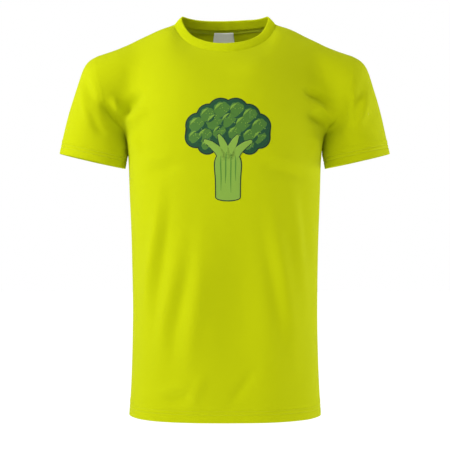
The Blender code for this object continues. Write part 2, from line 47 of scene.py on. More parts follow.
BODY_LENGTH = 0.698
UNDERARM_DROP = 0.205
CHEST_WIDTH = 0.344
WAIST_WIDTH = 0.327
HEM_WIDTH = 0.341
CHEST_DEPTHS = (0.122, 0.112)
WAIST_DEPTHS = (0.110, 0.096)
HEM_DEPTHS = (0.106, 0.102)
WAIST_DROP = 0.550
SECTION_SQUARENESS = 2.5
SHOULDER_WIDTH = 0.430
SHOULDER_DROP = 0.058
SHOULDER_BACK = 0.006
ARMHOLE_DEPTHS = (0.068, 0.066)
ARMHOLE_SPREAD = 0.022
NECK_WIDTH = 0.188
NECK_SIDE_DROP = 0.008
NECK_DROPS = (0.070, 0.012)
NECK_DEPTHS = (-0.082, 0.066)
ARM_ANGLE = math.radians(13)
SLEEVE_GAP = 0.002
SLEEVE_LENGTH = 0.197
CUFF_WIDTH = 0.125
CUFF_DEPTH = 0.112
RIB_WIDTH = 0.018
RIB_LEANS = (26, 44, 32)
HEM_TURNING = 0.020
CUFF_TURNING = 0.018
STITCH_EDGE = 0.0015
NEEDLE_SPACING = 0.0055
TAPE_WIDTH = 0.009
NECK_LABEL_SIZE = (0.034, 0.046)
CARE_LABEL_SIZE = (0.030, 0.055)
CARE_LABEL_HEIGHT = 0.115
COLUMNS = 6
NECK_COLUMNS = 3
LOWER_ROWS = 6
UPPER_ROWS = 5
SLEEVE_RINGS = 4
PANELS = ("front_panel", "back_panel", "sleeve")
SIDES = (("left", 1), ("right", -1))
UP = Vector((0, 0, 1))
HEM_POINT = Vector((0, 0, -BODY_LENGTH))

# ---- sizes of the fine model

FORM_LEVELS = 4
CLOTH = 0.0007  # thickness of one layer of jersey
THREAD_RADIUS = 0.00024  # of the stitches
STITCH_LENGTH = 0.0029
STITCH_SHARE = 0.86  # of its length that a stitch shows
EDGE_CUTS = (-0.016, -0.0105, -0.0085, -0.0070, -0.0055, -0.0035, -0.0015, 0.0, 0.0015, 0.0040)
KNIT_PITCH = 0.0011
RIB_COUNT = 264
MM = 0.001


def vector(x, y, z):
    return np.array((x, y, z), float)


def hermite(start, leaving, end, arriving, t):
    return (
        (2 * t**3 - 3 * t**2 + 1) * start
        + (t**3 - 2 * t**2 + t) * leaving
        + (3 * t**2 - 2 * t**3) * end
        + (t**3 - t**2) * arriving
    )


def travelled_along(points):
    """How far along a line each of its points is."""
    steps = np.linalg.norm(np.diff(np.array(points), axis=0), axis=1)
    return np.concatenate([[0], np.cumsum(steps)])


def evenly_spaced(points, count):
    points = np.array(points)
    travelled = travelled_along(points)
    wanted = np.linspace(0, travelled[-1], count + 1)
    return np.stack([np.interp(wanted, travelled, points[:, k]) for k in range(3)], axis=1)


def unit(vectors):
    """Vectors along the last axis, each made 1 long."""
    return vectors / np.linalg.norm(vectors, axis=-1, keepdims=True)


def eased(share):
    """A share from 0 to 1 that sets off and arrives gently."""
    return share * share * (3 - 2 * share)


def in_scene(name, data):
    """A new object in the scene."""
    made = bpy.data.objects.new(name, data)
    bpy.context.scene.collection.objects.link(made)
    return made


def of_type(items, kind):
    """The verts, edges or faces among what a bmesh operator made."""
    return [item for item in items if isinstance(item, kind)]


# ---- the form, as in the CAD model


def body_size(drop, face):
    drops = (UNDERARM_DROP, WAIST_DROP, BODY_LENGTH)
    widths = (CHEST_WIDTH / 2, WAIST_WIDTH / 2, HEM_WIDTH / 2)
    depths = (CHEST_DEPTHS[face], WAIST_DEPTHS[face], HEM_DEPTHS[face])
    first, second = (0, 1) if drop < drops[1] else (1, 2)
    share = (drop - drops[first]) / (drops[second] - drops[first])
    share = (1 - math.cos(math.pi * share)) / 2
    return (
        widths[first] + (widths[second] - widths[first]) * share,
        depths[first] + (depths[second] - depths[first]) * share,
    )


def body_row(drop, face):
    width, depth = body_size(drop, face)
    side = -1 if face == 0 else 1
    power = 2 / SECTION_SQUARENESS
    angles = np.linspace(0, math.pi / 2, 60)
    curve = [
        vector(width * math.sin(a) ** power, side * depth * abs(math.cos(a)) ** power, -drop)
        for a in angles
    ]
    return evenly_spaced(curve, COLUMNS)


def neck_seam(face):
    drop, depth = NECK_DROPS[face], NECK_DEPTHS[face]
    angles = np.linspace(0, math.pi / 2, NECK_COLUMNS + 1)
    return [
        vector(
            NECK_WIDTH / 2 * math.sin(a),
            SHOULDER_BACK + (depth - SHOULDER_BACK) * math.cos(a),
            -NECK_SIDE_DROP - (drop - NECK_SIDE_DROP) * math.cos(a),
        )
        for a in angles
    ]


def shoulder_tip():
    return vector(SHOULDER_WIDTH / 2, SHOULDER_BACK, -SHOULDER_DROP)


def top_edge(face):
    neck, tip = neck_seam(face), shoulder_tip()
    count = COLUMNS - NECK_COLUMNS
    return neck + [neck[-1] + (tip - neck[-1]) * k / count for k in range(1, count + 1)]


def armhole(face):
    side = -1 if face == 0 else 1
    depth = ARMHOLE_DEPTHS[face]
    underarm = vector(CHEST_WIDTH / 2, 0, -UNDERARM_DROP)
    height = UNDERARM_DROP - SHOULDER_DROP
    leaving = vector(8 * ARMHOLE_SPREAD, side * 4 * depth, 0.3 * height)
    arriving = vector(0, -side * 4 * depth, 0.6 * height)
    return [
        hermite(underarm, leaving, shoulder_tip(), arriving, j / UPPER_ROWS)
        for j in range(UPPER_ROWS + 1)
    ]


def top_direction(column, face):
    inward = 1 if face == 0 else -1
    at_neck = max(0.0, 1 - column / NECK_COLUMNS)
    lean = math.radians(82 - 40 * at_neck)
    return vector(0, inward * math.sin(lean), math.cos(lean))


def panel_grid(face):
    drops = np.linspace(BODY_LENGTH, UNDERARM_DROP, LOWER_ROWS + 1)
    rows = [list(body_row(drop, face)) for drop in drops]
    chest, top, hole = rows[-1], top_edge(face), armhole(face)
    for j in range(1, UPPER_ROWS + 1):
        row = []
        for i in range(COLUMNS):
            reach = float(np.linalg.norm(top[i] - chest[i]))
            up = vector(0, 0, 1.1 * reach)
            over = 1.1 * reach * top_direction(i, face)
            row.append(hermite(chest[i], up, top[i], over, j / UPPER_ROWS))
        rows.append(row + [hole[j]])
    return rows


def arm_axis():
    return vector(math.sin(ARM_ANGLE), 0, -math.cos(ARM_ANGLE))


def arm_across():
    return vector(math.cos(ARM_ANGLE), 0, math.sin(ARM_ANGLE))


def cuff_centre():
    tip = shoulder_tip()
    outer_x = CHEST_WIDTH / 2 + SLEEVE_GAP + CUFF_WIDTH * arm_across()[0]
    fall = math.sqrt(SLEEVE_LENGTH**2 - (outer_x - tip[0]) ** 2)
    return vector(outer_x, 0, tip[2] - fall) - arm_across() * CUFF_WIDTH / 2


def cuff_point(angle):
    return (
        cuff_centre()
        - arm_across() * CUFF_WIDTH / 2 * math.cos(angle)
        - vector(0, CUFF_DEPTH / 2, 0) * math.sin(angle)
    )


def sleeve_grid():
    loop = armhole(0) + armhole(1)[-2:0:-1]
    over_shoulder = vector(1.0, 0, -0.5)
    rings = [[] for _ in range(SLEEVE_RINGS + 1)]
    for k, start in enumerate(loop):
        angle = 2 * math.pi * k / len(loop)
        end = cuff_point(angle)
        reach = float(np.linalg.norm(end - start))
        outer = (1 - math.cos(angle)) / 2
        direction = over_shoulder * outer + arm_axis() * (1 - outer)
        leaving = reach * unit(direction)
        for ring in range(SLEEVE_RINGS + 1):
            t = ring / SLEEVE_RINGS
            rings[ring].append(hermite(start, leaving, end, reach * arm_axis(), t))
    return rings


def add_grid(cage, rows, panel, closed=False):
    """Adds a grid of quads of one panel, with its knit coordinates in metres as a UV map.

    Returns the grid's first column.
    """
    knit = cage.loops.layers.uv.active or cage.loops.layers.uv.new("knit")
    verts = [[cage.verts.new(point) for point in row] for row in rows]
    width = len(rows[0]) if closed else len(rows[0]) - 1
    middle = np.array([row[len(row) // 2] for row in rows])
    heights = travelled_along(middle)
    column = float(np.linalg.norm(np.diff(np.array(rows[0]), axis=0), axis=1).mean())
    for r, (low, high) in enumerate(zip(verts, verts[1:])):
        for i in range(width):
            j = (i + 1) % len(low)
            face = cage.faces.new((low[i], low[j], high[j], high[i]))
            face.material_index = PANELS.index(panel)
            face.smooth = True
            corners = ((i, r), (i + 1, r), (i + 1, r + 1), (i, r + 1))
            for loop, (across, up) in zip(face.loops, corners):
                loop[knit].uv = (across * column, heights[up])
    return [row[0] for row in verts]


def cuff_plane(side):
    """The plane of a sleeve's opening, with its normal up the arm. Side is 1 for the left sleeve."""
    mirror = vector(side, 1, 1)
    return Vector(cuff_centre() * mirror), Vector(-arm_axis() * mirror)


def cut_rows(work, faces, point, normal, heights):
    """Cuts rows of edges through faces, parallel to a turned edge."""
    for height in heights:
        faces = [face for face in faces if face.is_valid]
        edges = {edge for face in faces for edge in face.edges}
        verts = {vert for face in faces for vert in face.verts}
        made = bmesh.ops.bisect_plane(
            work,
            geom=faces + list(edges) + list(verts),
            plane_co=point + normal * height,
            plane_no=normal,
        )
        faces = list({face for face in faces + of_type(made["geom"], bmesh.types.BMFace) if face.is_valid})


def is_tall(edge):
    """Whether an edge runs up the body between the turned hem and the armholes."""
    rise = edge.verts[1].co - edge.verts[0].co
    low, high = sorted(vert.co.z for vert in edge.verts)
    within = low > 0.026 - BODY_LENGTH and high < -UNDERARM_DROP - 0.004
    return within and abs(rise.z) > 0.7 * rise.length


def fine_form():
    """The whole shirt as one fine smooth mesh, with rows of edges where the needle rows run."""
    cage = bmesh.new()
    add_grid(cage, panel_grid(0), "front_panel")
    add_grid(cage, [row[::-1] for row in panel_grid(1)], "back_panel")
    underarm = add_grid(cage, sleeve_grid()[::-1], "sleeve", closed=True)
    for low, high in zip(underarm, underarm[1:]):
        cage.edges.get((low, high)).seam = True
    bmesh.ops.remove_doubles(cage, verts=cage.verts, dist=1e-6)
    mesh = bpy.data.meshes.new("form")
    cage.to_mesh(mesh)
    cage.free()
    for panel in PANELS:
        mesh.materials.append(bpy.data.materials.new("form_" + panel))
    form = in_scene("form", mesh)
    mirror = form.modifiers.new("both_sides", "MIRROR")
    mirror.merge_threshold = 1e-5
    smooth = form.modifiers.new("smooth", "SUBSURF")
    smooth.levels = smooth.render_levels = FORM_LEVELS
    bpy.context.view_layer.update()
    graph = bpy.context.evaluated_depsgraph_get()
    fine = bpy.data.meshes.new_from_object(form.evaluated_get(graph))
    bpy.data.objects.remove(form)
    work = bmesh.new()
    work.from_mesh(fine)
    low = [
        face
        for face in work.faces
        if face.material_index < 2 and face.calc_center_median().z < 0.05 - BODY_LENGTH
    ]
    cut_rows(work, low, HEM_POINT, UP, [HEM_TURNING + cut for cut in EDGE_CUTS])
    for _, side in SIDES:
        point, normal = cuff_plane(side)
        sleeve = [
            face
            for face in work.faces
            if face.material_index == 2
            and face.calc_center_median().x * side > 0
            and (face.calc_center_median() - point).dot(normal) < 0.04
        ]
        cut_rows(work, sleeve, point, normal, [CUFF_TURNING + cut for cut in EDGE_CUTS])
    tall = [edge for edge in work.edges if is_tall(edge)]
    bmesh.ops.subdivide_edges(work, edges=tall, cuts=1, use_grid_fill=True)
    rest = work.verts.layers.float_vector.new("rest")
    for vert in work.verts:
        vert[rest] = vert.co
    work.normal_update()
    work.to_mesh(fine)
    work.free()
    return fine


# ---- folds

# Each fold is a soft ridge, or a valley where its height is negative: its height, its half width and
# the (x, z) points that it runs through, all in millimetres.
FRONT_FOLDS = (
    # right armhole, at the left of the front view
    (-9, 8.5, (-216, -150), (-196, -170), (-174, -196)),
    (6, 7.5, (-197, -138), (-190, -160), (-182, -182)),
    (-9.5, 9.2, (-186, -188), (-168, -160), (-138, -136)),
    (8, 9.5, (-172, -196), (-154, -178), (-126, -170)),
    (6, 10, (-158, -200), (-155, -220), (-150, -250)),
    # left armhole
    (-8.5, 8.5, (132, -130), (158, -142), (188, -162)),
    (7.5, 9, (144, -150), (170, -163), (198, -182)),
    (-7.5, 8, (138, -174), (160, -180), (184, -192)),
    (-6.5, 9.5, (216, -130), (211, -160), (202, -196)),
    (6, 10, (154, -200), (155, -225), (152, -257)),
    # across the ribs
    (-3.4, 12, (-146, -268), (-110, -272), (-66, -262)),
    (2.4, 11, (-146, -246), (-112, -250), (-70, -240)),
    (-3.4, 11, (56, -270), (100, -276), (148, -288)),
    (2.2, 11, (56, -250), (100, -254), (146, -266)),
    # long folds down the front's right side
    (6.2, 12.5, (-108, -285), (-116, -370), (-130, -460), (-136, -560)),
    (-4.6, 11.5, (-94, -300), (-102, -380), (-114, -460), (-121, -540)),
    (5, 13.5, (-70, -350), (-84, -440), (-104, -530), (-112, -620)),
    (-4, 12.5, (-56, -390), (-68, -470), (-86, -550), (-94, -620)),
    (4.6, 15, (-42, -380), (-46, -470), (-58, -560), (-62, -650)),
    # long folds down the front's left side
    (4.6, 14, (78, -330), (96, -420), (112, -510), (122, -610)),
    (-3.4, 13, (60, -340), (76, -430), (92, -520), (100, -600)),
    (4.4, 11.5, (112, -285), (124, -370), (132, -460), (138, -550)),
    (-3.4, 10, (128, -290), (138, -370), (144, -450)),
    # the broad hang of the front
    (4, 30, (-34, -340), (-40, -470), (-56, -640)),
    (-8, 42, (30, -320), (32, -440), (30, -560), (16, -690)),
    # near the hem
    (3.4, 10, (-122, -652), (-84, -642), (-46, -636)),
    (-2.8, 9.5, (-112, -664), (-74, -658), (-50, -652)),
    (3.6, 11, (-30, -610), (-48, -645), (-62, -682)),
    (-3, 10, (60, -600), (30, -640), (-2, -682)),
    # sleeves, front
    (-4.2, 8, (-243, -98), (-236, -130), (-222, -160)),
    (3.8, 8, (-252, -120), (-244, -160), (-228, -200)),
    (-4.6, 9, (-236, -165), (-222, -195), (-206, -215)),
    (-3.8, 8.5, (240, -110), (232, -150), (216, -180)),
    (3.8, 8.5, (252, -125), (240, -170), (224, -205)),
    # where the sleeves leave the chest, filled out
    (7, 26, (-158, -50), (-178, -95), (-184, -150)),
    (7, 26, (158, -50), (178, -95), (184, -150)),
    # below the collar
    (-1.8, 18, (-70, -100), (-10, -108), (60, -100)),
    (2.1, 12, (20, -100), (50, -96), (80, -88)),
)
BACK_FOLDS = (
    (-6.8, 8, (-178, -175), (-155, -165), (-125, -165)),
    (6.8, 9, (-178, -192), (-152, -184), (-118, -190)),
    (-6.8, 8, (178, -178), (152, -166), (120, -168)),
    (6.8, 9, (178, -195), (150, -187), (114, -196)),
    (5.9, 11, (-140, -240), (-105, -330), (-80, -430)),
    (-5.1, 10, (-120, -250), (-85, -340), (-60, -430)),
    (5.9, 11, (138, -245), (108, -345), (90, -450)),
    (-5.1, 10, (118, -260), (90, -350), (70, -450)),
    (4.3, 12, (-30, -440), (-34, -540), (-46, -640)),
    (-4.3, 11, (-6, -440), (-8, -540), (-18, -640)),
    (4.3, 12, (60, -480), (56, -570), (48, -660)),
    (-2.2, 12, (-130, -500), (-60, -516), (10, -510)),
    (2, 13, (-120, -536), (-60, -544), (0, -534)),
    (-2, 12, (10, -560), (70, -552), (130, -530)),
    (-3.1, 14, (-70, -60), (0, -68), (70, -60)),
    (3.4, 8, (250, -120), (240, -165), (224, -205)),
    (-3.4, 8, (-246, -115), (-236, -155), (-218, -190)),
)
END_TAPER = 0.42  # the share of a fold's length over which it rises at each end
END_SHARE = 0.12  # of a fold's height that is left at its very ends
FACE_BLEND = 0.02  # how far from the sides of the shirt the folds reach their full height
# Uneven waves in the cloth: height, how often they turn in a metre of x, y and z, and where they start.
WAVES = ((0.0016, (14, 14, 6), (0, 0, 3.7)), (0.00035, (45, 45, 22), (9.1, 0, 0)))
NECK_GROOVE = 0.0006
SEAM_GROOVE = 0.00015
GROOVE_REACH = 0.0022
ALLOWANCE_SWELL = (0.0003, 0.004, 0.0035)  # height, distance from the seam and reach
SEAM_REACH = 0.015  # beyond which a seam shifts nothing
NEEDLE_GROOVE = (0.0007, 0.0012)  # depth and reach
TURNING_STEP = 0.0004  # how far the doubled cloth stands out
TURNING_SWELL = (0.0006, 0.004, 0.003)  # height, distance above the turning and reach
TURNING_ZONE = 0.04  # how far above a turned edge its offsets matter


def smooth_path(points, count=24):
    """A Catmull-Rom curve through points in a plane."""
    points = np.array(points, float)
    padded = np.vstack([2 * points[0] - points[1], points, 2 * points[-1] - points[-2]])
    spans = len(points) - 1
    path = []
    for at in np.linspace(0, spans, count):
        k = min(int(at), spans - 1)
        before, start, end, after = padded[k : k + 4]
        path.append(hermite(start, (end - before) / 2, end, (after - start) / 2, at - k))
    return np.array(path)


def fold_height(spots, path, width):
    """How much of a fold each spot has, from 0 to 1: all of it on the path, tapering at its ends."""
    path = smooth_path(path)
    result = np.zeros(len(spots))
    low, high = path.min(0) - 3 * width, path.max(0) + 3 * width
    near = np.flatnonzero(((spots > low) & (spots < high)).all(1))
    if not len(near):
        return result
    spots = spots[near]
    best, place = np.full(len(near), 1e9), np.zeros(len(near))
    count = len(path) - 1
    for k, (start, end) in enumerate(zip(path, path[1:])):
        along = end - start
        share = np.clip(((spots - start) @ along) / (along @ along), 0, 1)
        gap = np.linalg.norm(spots - start - share[:, None] * along, axis=1)
        closer = gap < best
        best[closer] = gap[closer]
        place[closer] = ((k + share) / count)[closer]
    ends = eased(np.clip(np.minimum(place, 1 - place) / END_TAPER, 0, 1))
    result[near] = np.exp(-((best / width) ** 2)) * (END_SHARE + (1 - END_SHARE) * ends)
    return result


def fold_offsets(co):
    """How far each point of the form is pushed out by the folds."""
    offsets = np.zeros(len(co))
    spots = co[:, [0, 2]]
    for outward, folds in ((-1, FRONT_FOLDS), (1, BACK_FOLDS)):
        on_face = np.clip(outward * co[:, 1] / FACE_BLEND, 0, 1)
        for height, width, *path in folds:
            share = fold_height(spots, MM * np.array(path), MM * width)
            offsets += MM * height * share * on_face
    return offsets


def wrinkle_offsets(co):
    """Small uneven waves, longer up and down than across."""
    offsets = np.zeros(len(co))
    for height, often, start in WAVES:
        for k, place in enumerate(co * often + start):
            offsets[k] += height * noise.noise(Vector(place))
    return offsets


def seam_offsets(mesh, co):
    """A narrow groove along each seam, and a low swell over the allowance beside it."""
    uses = {}
    panel_of = np.zeros(len(co), int)
    for polygon in mesh.polygons:
        panel_of[list(polygon.vertices)] = polygon.material_index
        for key in polygon.edge_keys:
            uses.setdefault(key, []).append(polygon.material_index)
    seams = []  # each point on a seam, with the panel that its allowance lies on, or -1 at the neck
    for key, panels in uses.items():
        if len(set(panels)) == 2:
            seams.extend((k, max(panels)) for k in key)
        elif len(panels) == 1 and co[key[0], 2] > -UNDERARM_DROP / 2:
            seams.extend((k, -1) for k in key)
    tree = KDTree(len(seams))
    for n, (k, _) in enumerate(seams):
        tree.insert(co[k], n)
    tree.balance()
    swell, middle, reach = ALLOWANCE_SWELL
    offsets = np.zeros(len(co))
    for k, point in enumerate(co):
        _, n, gap = tree.find(point)
        if gap > SEAM_REACH:
            continue
        beside = seams[n][1]
        depth = NECK_GROOVE if beside < 0 else SEAM_GROOVE
        offsets[k] -= depth * math.exp(-((gap / GROOVE_REACH) ** 2))
        if panel_of[k] == beside:
            offsets[k] += swell * math.exp(-(((gap - middle) / reach) ** 2))
    return offsets


def turning_offsets(heights, turning):
    """Grooves along two needle rows, soft swells between them and a step above the turning."""
    offsets = TURNING_STEP * (heights < turning + 0.0005)
    depth, reach = NEEDLE_GROOVE
    for row in (turning - STITCH_EDGE, turning - STITCH_EDGE - NEEDLE_SPACING):
        offsets -= depth * np.exp(-(((heights - row) / reach) ** 2))
    height, above, reach = TURNING_SWELL
    return offsets + height * np.exp(-(((heights - turning - above) / reach) ** 2))


# How far the shoulders stand above the smooth form, by distance from the middle.
SHOULDER_LIFT = (
    (0, 0.06, 0.09, 0.115, 0.145, 0.175, 0.20),
    (0.001, 0.002, 0.004, 0.0035, 0.002, 0.001, 0),
)
LIFT_HEIGHTS = (-0.060, -0.025)  # where the lift begins, and where all of it is there
CAP_PLACE = (0.229, -0.089)  # where the head of the sleeve is fullest
CAP_SPREAD = 0.034
CAP_FULLNESS = (0.0090, 0.0079)  # outward and up
UNDERARM_PLACE = (0.184, -0.222)
UNDERARM_SPREAD = 0.030
UNDERARM_SHIFT = 0.0092
HEM_DIP = 0.0028  # how far the middle of the hem hangs below its sides
DIP_HEIGHTS = (-0.60, -0.69)  # where the dip begins, and where all of it is there
DIP_HALF_WIDTH = 0.17


def drape_shifts(co, sleeve):
    """How the cloth stands off the smooth form over the shoulders, and the sleeve closes on the body."""
    side, away, z = np.sign(co[:, 0]), np.abs(co[:, 0]), co[:, 2]

    def near(place, spread):
        return np.exp(-((away - place[0]) ** 2 + (z - place[1]) ** 2) / spread**2)

    def reached(start, full):
        return np.clip((z - start) / (full - start), 0, 1)

    high, low = reached(*LIFT_HEIGHTS), reached(*DIP_HEIGHTS)
    cap = near(CAP_PLACE, CAP_SPREAD)
    underarm = sleeve * UNDERARM_SHIFT * near(UNDERARM_PLACE, UNDERARM_SPREAD)
    dip = HEM_DIP * low * low * (1 - np.clip(away / DIP_HALF_WIDTH, 0, 1) ** 4)
    shifts = np.zeros(co.shape)
    shifts[:, 0] = side * (cap * CAP_FULLNESS[0] - underarm)
    shifts[:, 2] = np.interp(away, *SHOULDER_LIFT) * eased(high) + cap * CAP_FULLNESS[1] - dip
    return shifts


def shape_form(mesh):
    """Pushes the form's points out and in along its normals, and returns the new points."""
    co = np.array([tuple(vert.co) for vert in mesh.vertices])
    normal = np.array([tuple(item.vector) for item in mesh.vertex_normals])
    offsets = fold_offsets(co) + wrinkle_offsets(co) + seam_offsets(mesh, co)
    body = np.zeros(len(co), bool)
    for polygon in mesh.polygons:
        if polygon.material_index < 2:
            body[list(polygon.vertices)] = True
    turned = [(HEM_POINT, UP, body, HEM_TURNING)]
    for _, side in SIDES:
        turned.append((*cuff_plane(side), ~body & (co[:, 0] * side > 0), CUFF_TURNING))
    for point, direction, chosen, turning in turned:
        heights = (co - np.array(point)) @ np.array(direction)
        low = chosen & (heights < TURNING_ZONE)
        offsets[low] += turning_offsets(heights[low], turning)
    return co + normal * offsets[:, None] + drape_shifts(co, ~body)


# ---- points on the form


def panel_tree(panel):
    """The form's faces of one panel, for finding the nearest point of it, and their corners."""
    index = PANELS.index(panel)
    faces = [tuple(face.vertices) for face in FORM.polygons if face.material_index == index]
    return BVHTree.FromPolygons(POINTS, faces), faces


def smooth_normal(place, corners):
    """The form's outward direction at a place on the face with these corners."""
    total = Vector()
    for k in corners:
        total += NORMALS[k] / ((POINTS[k] - place).length + 1e-5)
    return total.normalized()


def on_panel(point, panel):
    """The panel's nearest point, and its outward direction there."""
    tree, faces = TREES[panel]
    place, _, index, _ = tree.find_nearest(point)
    return place, smooth_normal(place, faces[index])


def walk(edges):
    """The verts of one unbroken run of edges, in order. A closed run ends with its first vert again."""
    joined = {}
    for edge in edges:
        for vert in edge.verts:
            joined.setdefault(vert, []).append(edge.other_vert(vert))
    ends = [vert for vert, others in joined.items() if len(others) == 1]
    first = min(ends or joined, key=lambda vert: tuple(round(k, 5) for k in vert.co))
    run, visited = [first], {first}
    while True:
        onward = [vert for vert in joined[run[-1]] if vert not in visited]
        if not onward:
            break
        run.append(onward[0])
        visited.add(onward[0])
    return run if ends else run + [first]


def form_line(order, wanted):
    """The points of the run of form edges for which wanted(edge, panels, middle) is true.

    It starts at the end where order(point) is less.
    """
    rest = WORK.verts.layers.float_vector["rest"]
    found = []
    for edge in WORK.edges:
        panels = {PANELS[face.material_index] for face in edge.link_faces}
        if wanted(edge, panels, (edge.verts[0][rest] + edge.verts[1][rest]) / 2):
            found.append(edge)
    line = [vert.co.copy() for vert in walk(found)]
    return line if order(line[0]) <= order(line[-1]) else line[::-1]


def joins_panels(panels, middle, side, below):
    """Whether an edge of these panels joins front and back, on this side and above or below the sleeve."""
    here = middle.x * side > 0 and (middle.z < -UNDERARM_DROP / 2) == below
    return here and panels == set(PANELS[:2])


def neck_line(panel):
    """The neck seam of the front from right to left, or of the back from left to right."""
    way = 1 if panel == "front_panel" else -1

    def wanted(edge, panels, middle):
        return len(edge.link_faces) == 1 and panels == {panel} and middle.z > -UNDERARM_DROP / 2

    return form_line(lambda point: way * point.x, wanted)


def side_line(side):
    """The side seam from the hem up to the underarm."""
    return form_line(
        lambda point: point.z,
        lambda edge, panels, middle: joins_panels(panels, middle, side, below=True),
    )


def shoulder_line(side):
    """The shoulder seam from the neck out to the sleeve."""
    return form_line(
        lambda point: abs(point.x),
        lambda edge, panels, middle: joins_panels(panels, middle, side, below=False),
    )


def armhole_line(side):
    """The closed seam between the body and a sleeve, up the front from the underarm and round to it."""

    def wanted(edge, panels, middle):
        return len(panels) == 2 and "sleeve" in panels and middle.x * side > 0

    line = form_line(lambda point: 0, wanted)[:-1]
    lowest = min(range(len(line)), key=lambda k: line[k].z)
    line = line[lowest:] + line[:lowest]
    line = line if line[4].y < line[-4].y else [line[0]] + line[:0:-1]
    return line + line[:1]


def sleeve_line(side):
    """The sleeve's seam from the cuff up to the underarm."""
    return form_line(
        lambda point: point.z,
        lambda edge, panels, middle: edge.seam and middle.x * side > 0,
    )


def needle_line(panels, side, point, normal, height):
    """The closed row of form points at a height above a turned edge, in order round it."""
    rest = WORK.verts.layers.float_vector["rest"]
    across = Vector((normal.z, 0, -normal.x))
    found = []
    for vert in WORK.verts:
        away = vert[rest] - point
        if abs(away.dot(normal) - height) > 2e-5 or vert[rest].x * side < 0:
            continue
        if {PANELS[face.material_index] for face in vert.link_faces} <= panels:
            found.append((math.atan2(away.y, away.dot(across)), vert.co.copy()))
    found.sort(key=lambda item: item[0])
    line = []
    for _, place in found:
        if not line or (place - line[-1]).length > 0.0008:
            line.append(place)
    return line + line[:1]


def resampled(points, spacing, start=0.0, end=0.0):
    """Evenly spaced points along a line, from start past its beginning to end before its end."""
    rows = np.array([tuple(point) for point in points])
    travelled = travelled_along(rows)
    length = travelled[-1] - start - end
    wanted = start + length * np.linspace(0, 1, max(2, round(length / spacing) + 1))
    return [Vector([np.interp(at, travelled, rows[:, k]) for k in range(3)]) for at in wanted]


def line_length(line):
    return sum((after - before).length for before, after in zip(line, line[1:]))


def directions(line):
    """The unit direction of a line at each of its points."""
    last = len(line) - 1
    return [(line[min(k + 1, last)] - line[max(k - 1, 0)]).normalized() for k in range(len(line))]


# ---- pieces

CUT_EDGE_ANGLE = math.radians(65)


def add_piece(name, mesh, material, replaces=()):
    """A piece of the shirt, in place and riding on the shirt's one body."""
    mesh.materials.clear()
    mesh.materials.append(material)
    mesh.shade_smooth()
    piece = in_scene(name, mesh)
    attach(piece, "root")
    if replaces:
        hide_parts(*replaces)
    return piece


def solidify(piece, thickness, offset=1.0):
    """Thickens a piece, outward where offset is 1 and inward where it is -1."""
    modifier = piece.modifiers.new("thickness", "SOLIDIFY")
    modifier.thickness = thickness
    modifier.offset = offset


def sharpen_cut_edges(piece):
    """Bakes in the thickness, with cut edges sharp so that they don't shade the cloth beside them."""
    graph = bpy.context.evaluated_depsgraph_get()
    solid = bpy.data.meshes.new_from_object(
        piece.evaluated_get(graph), preserve_all_data_layers=True, depsgraph=graph
    )
    piece.modifiers.clear()
    piece.data = solid
    solid.set_sharp_from_angle(angle=CUT_EDGE_ANGLE)


def grid_mesh(name, points, across, up, closed=False, outward=None):
    """A mesh over rows of points. Across and up are the knit coordinates of its columns and rows.

    A closed one joins its last column to its first. With outward, its first face looks that way.
    """
    points = np.array([[tuple(point) for point in row] for row in points])
    rows, columns = points.shape[:2]
    width = columns if closed else columns - 1
    flip = False
    if outward is not None:
        first = np.cross(points[0, 1] - points[0, 0], points[1, 0] - points[0, 0])
        flip = float(first @ np.array(outward)) < 0
    faces, corners = [], []
    for r in range(rows - 1):
        for c in range(width):
            spots = [(r, c), (r, c + 1), (r + 1, c + 1), (r + 1, c)]
            spots = spots[::-1] if flip else spots
            faces.append([row * columns + column % columns for row, column in spots])
            corners.extend((across[column], up[row]) for row, column in spots)
    mesh = bpy.data.meshes.new(name)
    mesh.from_pydata(points.reshape(-1, 3).tolist(), [], faces)
    knit = mesh.uv_layers.new(name="knit")
    knit.data.foreach_set("uv", np.array(corners, np.float32).ravel())
    return mesh


def side_rows(line, panel, distances, depths):
    """Rows on a panel beside a line, to the right of its travel, each so deep inside the surface."""
    rows = [[] for _ in distances]
    for point, along in zip(line, directions(line)):
        across = along.cross(on_panel(point, panel)[1]).normalized()
        for row, distance, depth in zip(rows, distances, depths):
            place, normal = on_panel(point + across * distance, panel)
            row.append(place - normal * depth)
    return rows


def add_strip(name, line, panel, distances, depths, thickness, material, replaces):
    """A narrow band that lies against the inside of a panel, beside a line."""
    rows = side_rows(line, panel, distances, depths)
    inward = -on_panel(rows[0][0], panel)[1]
    spacing = line_length(line) / (len(line) - 1)
    across = [spacing * k for k in range(len(line))]
    mesh = grid_mesh(name, rows, across, [abs(distance) for distance in distances], outward=inward)
    piece = add_piece(name, mesh, material, replaces)
    solidify(piece, thickness)
    return piece


# ---- cut pieces

# The turned layer at a hem or a cuff, from the fold: how deep inside, and how far up.
TURNED_PROFILE = (
    (0.0001, -0.0005),
    (0.0009, -0.0009),
    (0.0016, -0.0004),
    (0.0017, 0.0020),
    (0.0016, 0.0060),
    (0.0016, 0.0110),
    (0.0016, 0.0160),
)
TURNED_DEPTH = 0.0016
ON_EDGE = 0.0004  # how near its plane a turned edge lies
RIB_NAME = "neck_rib_band"


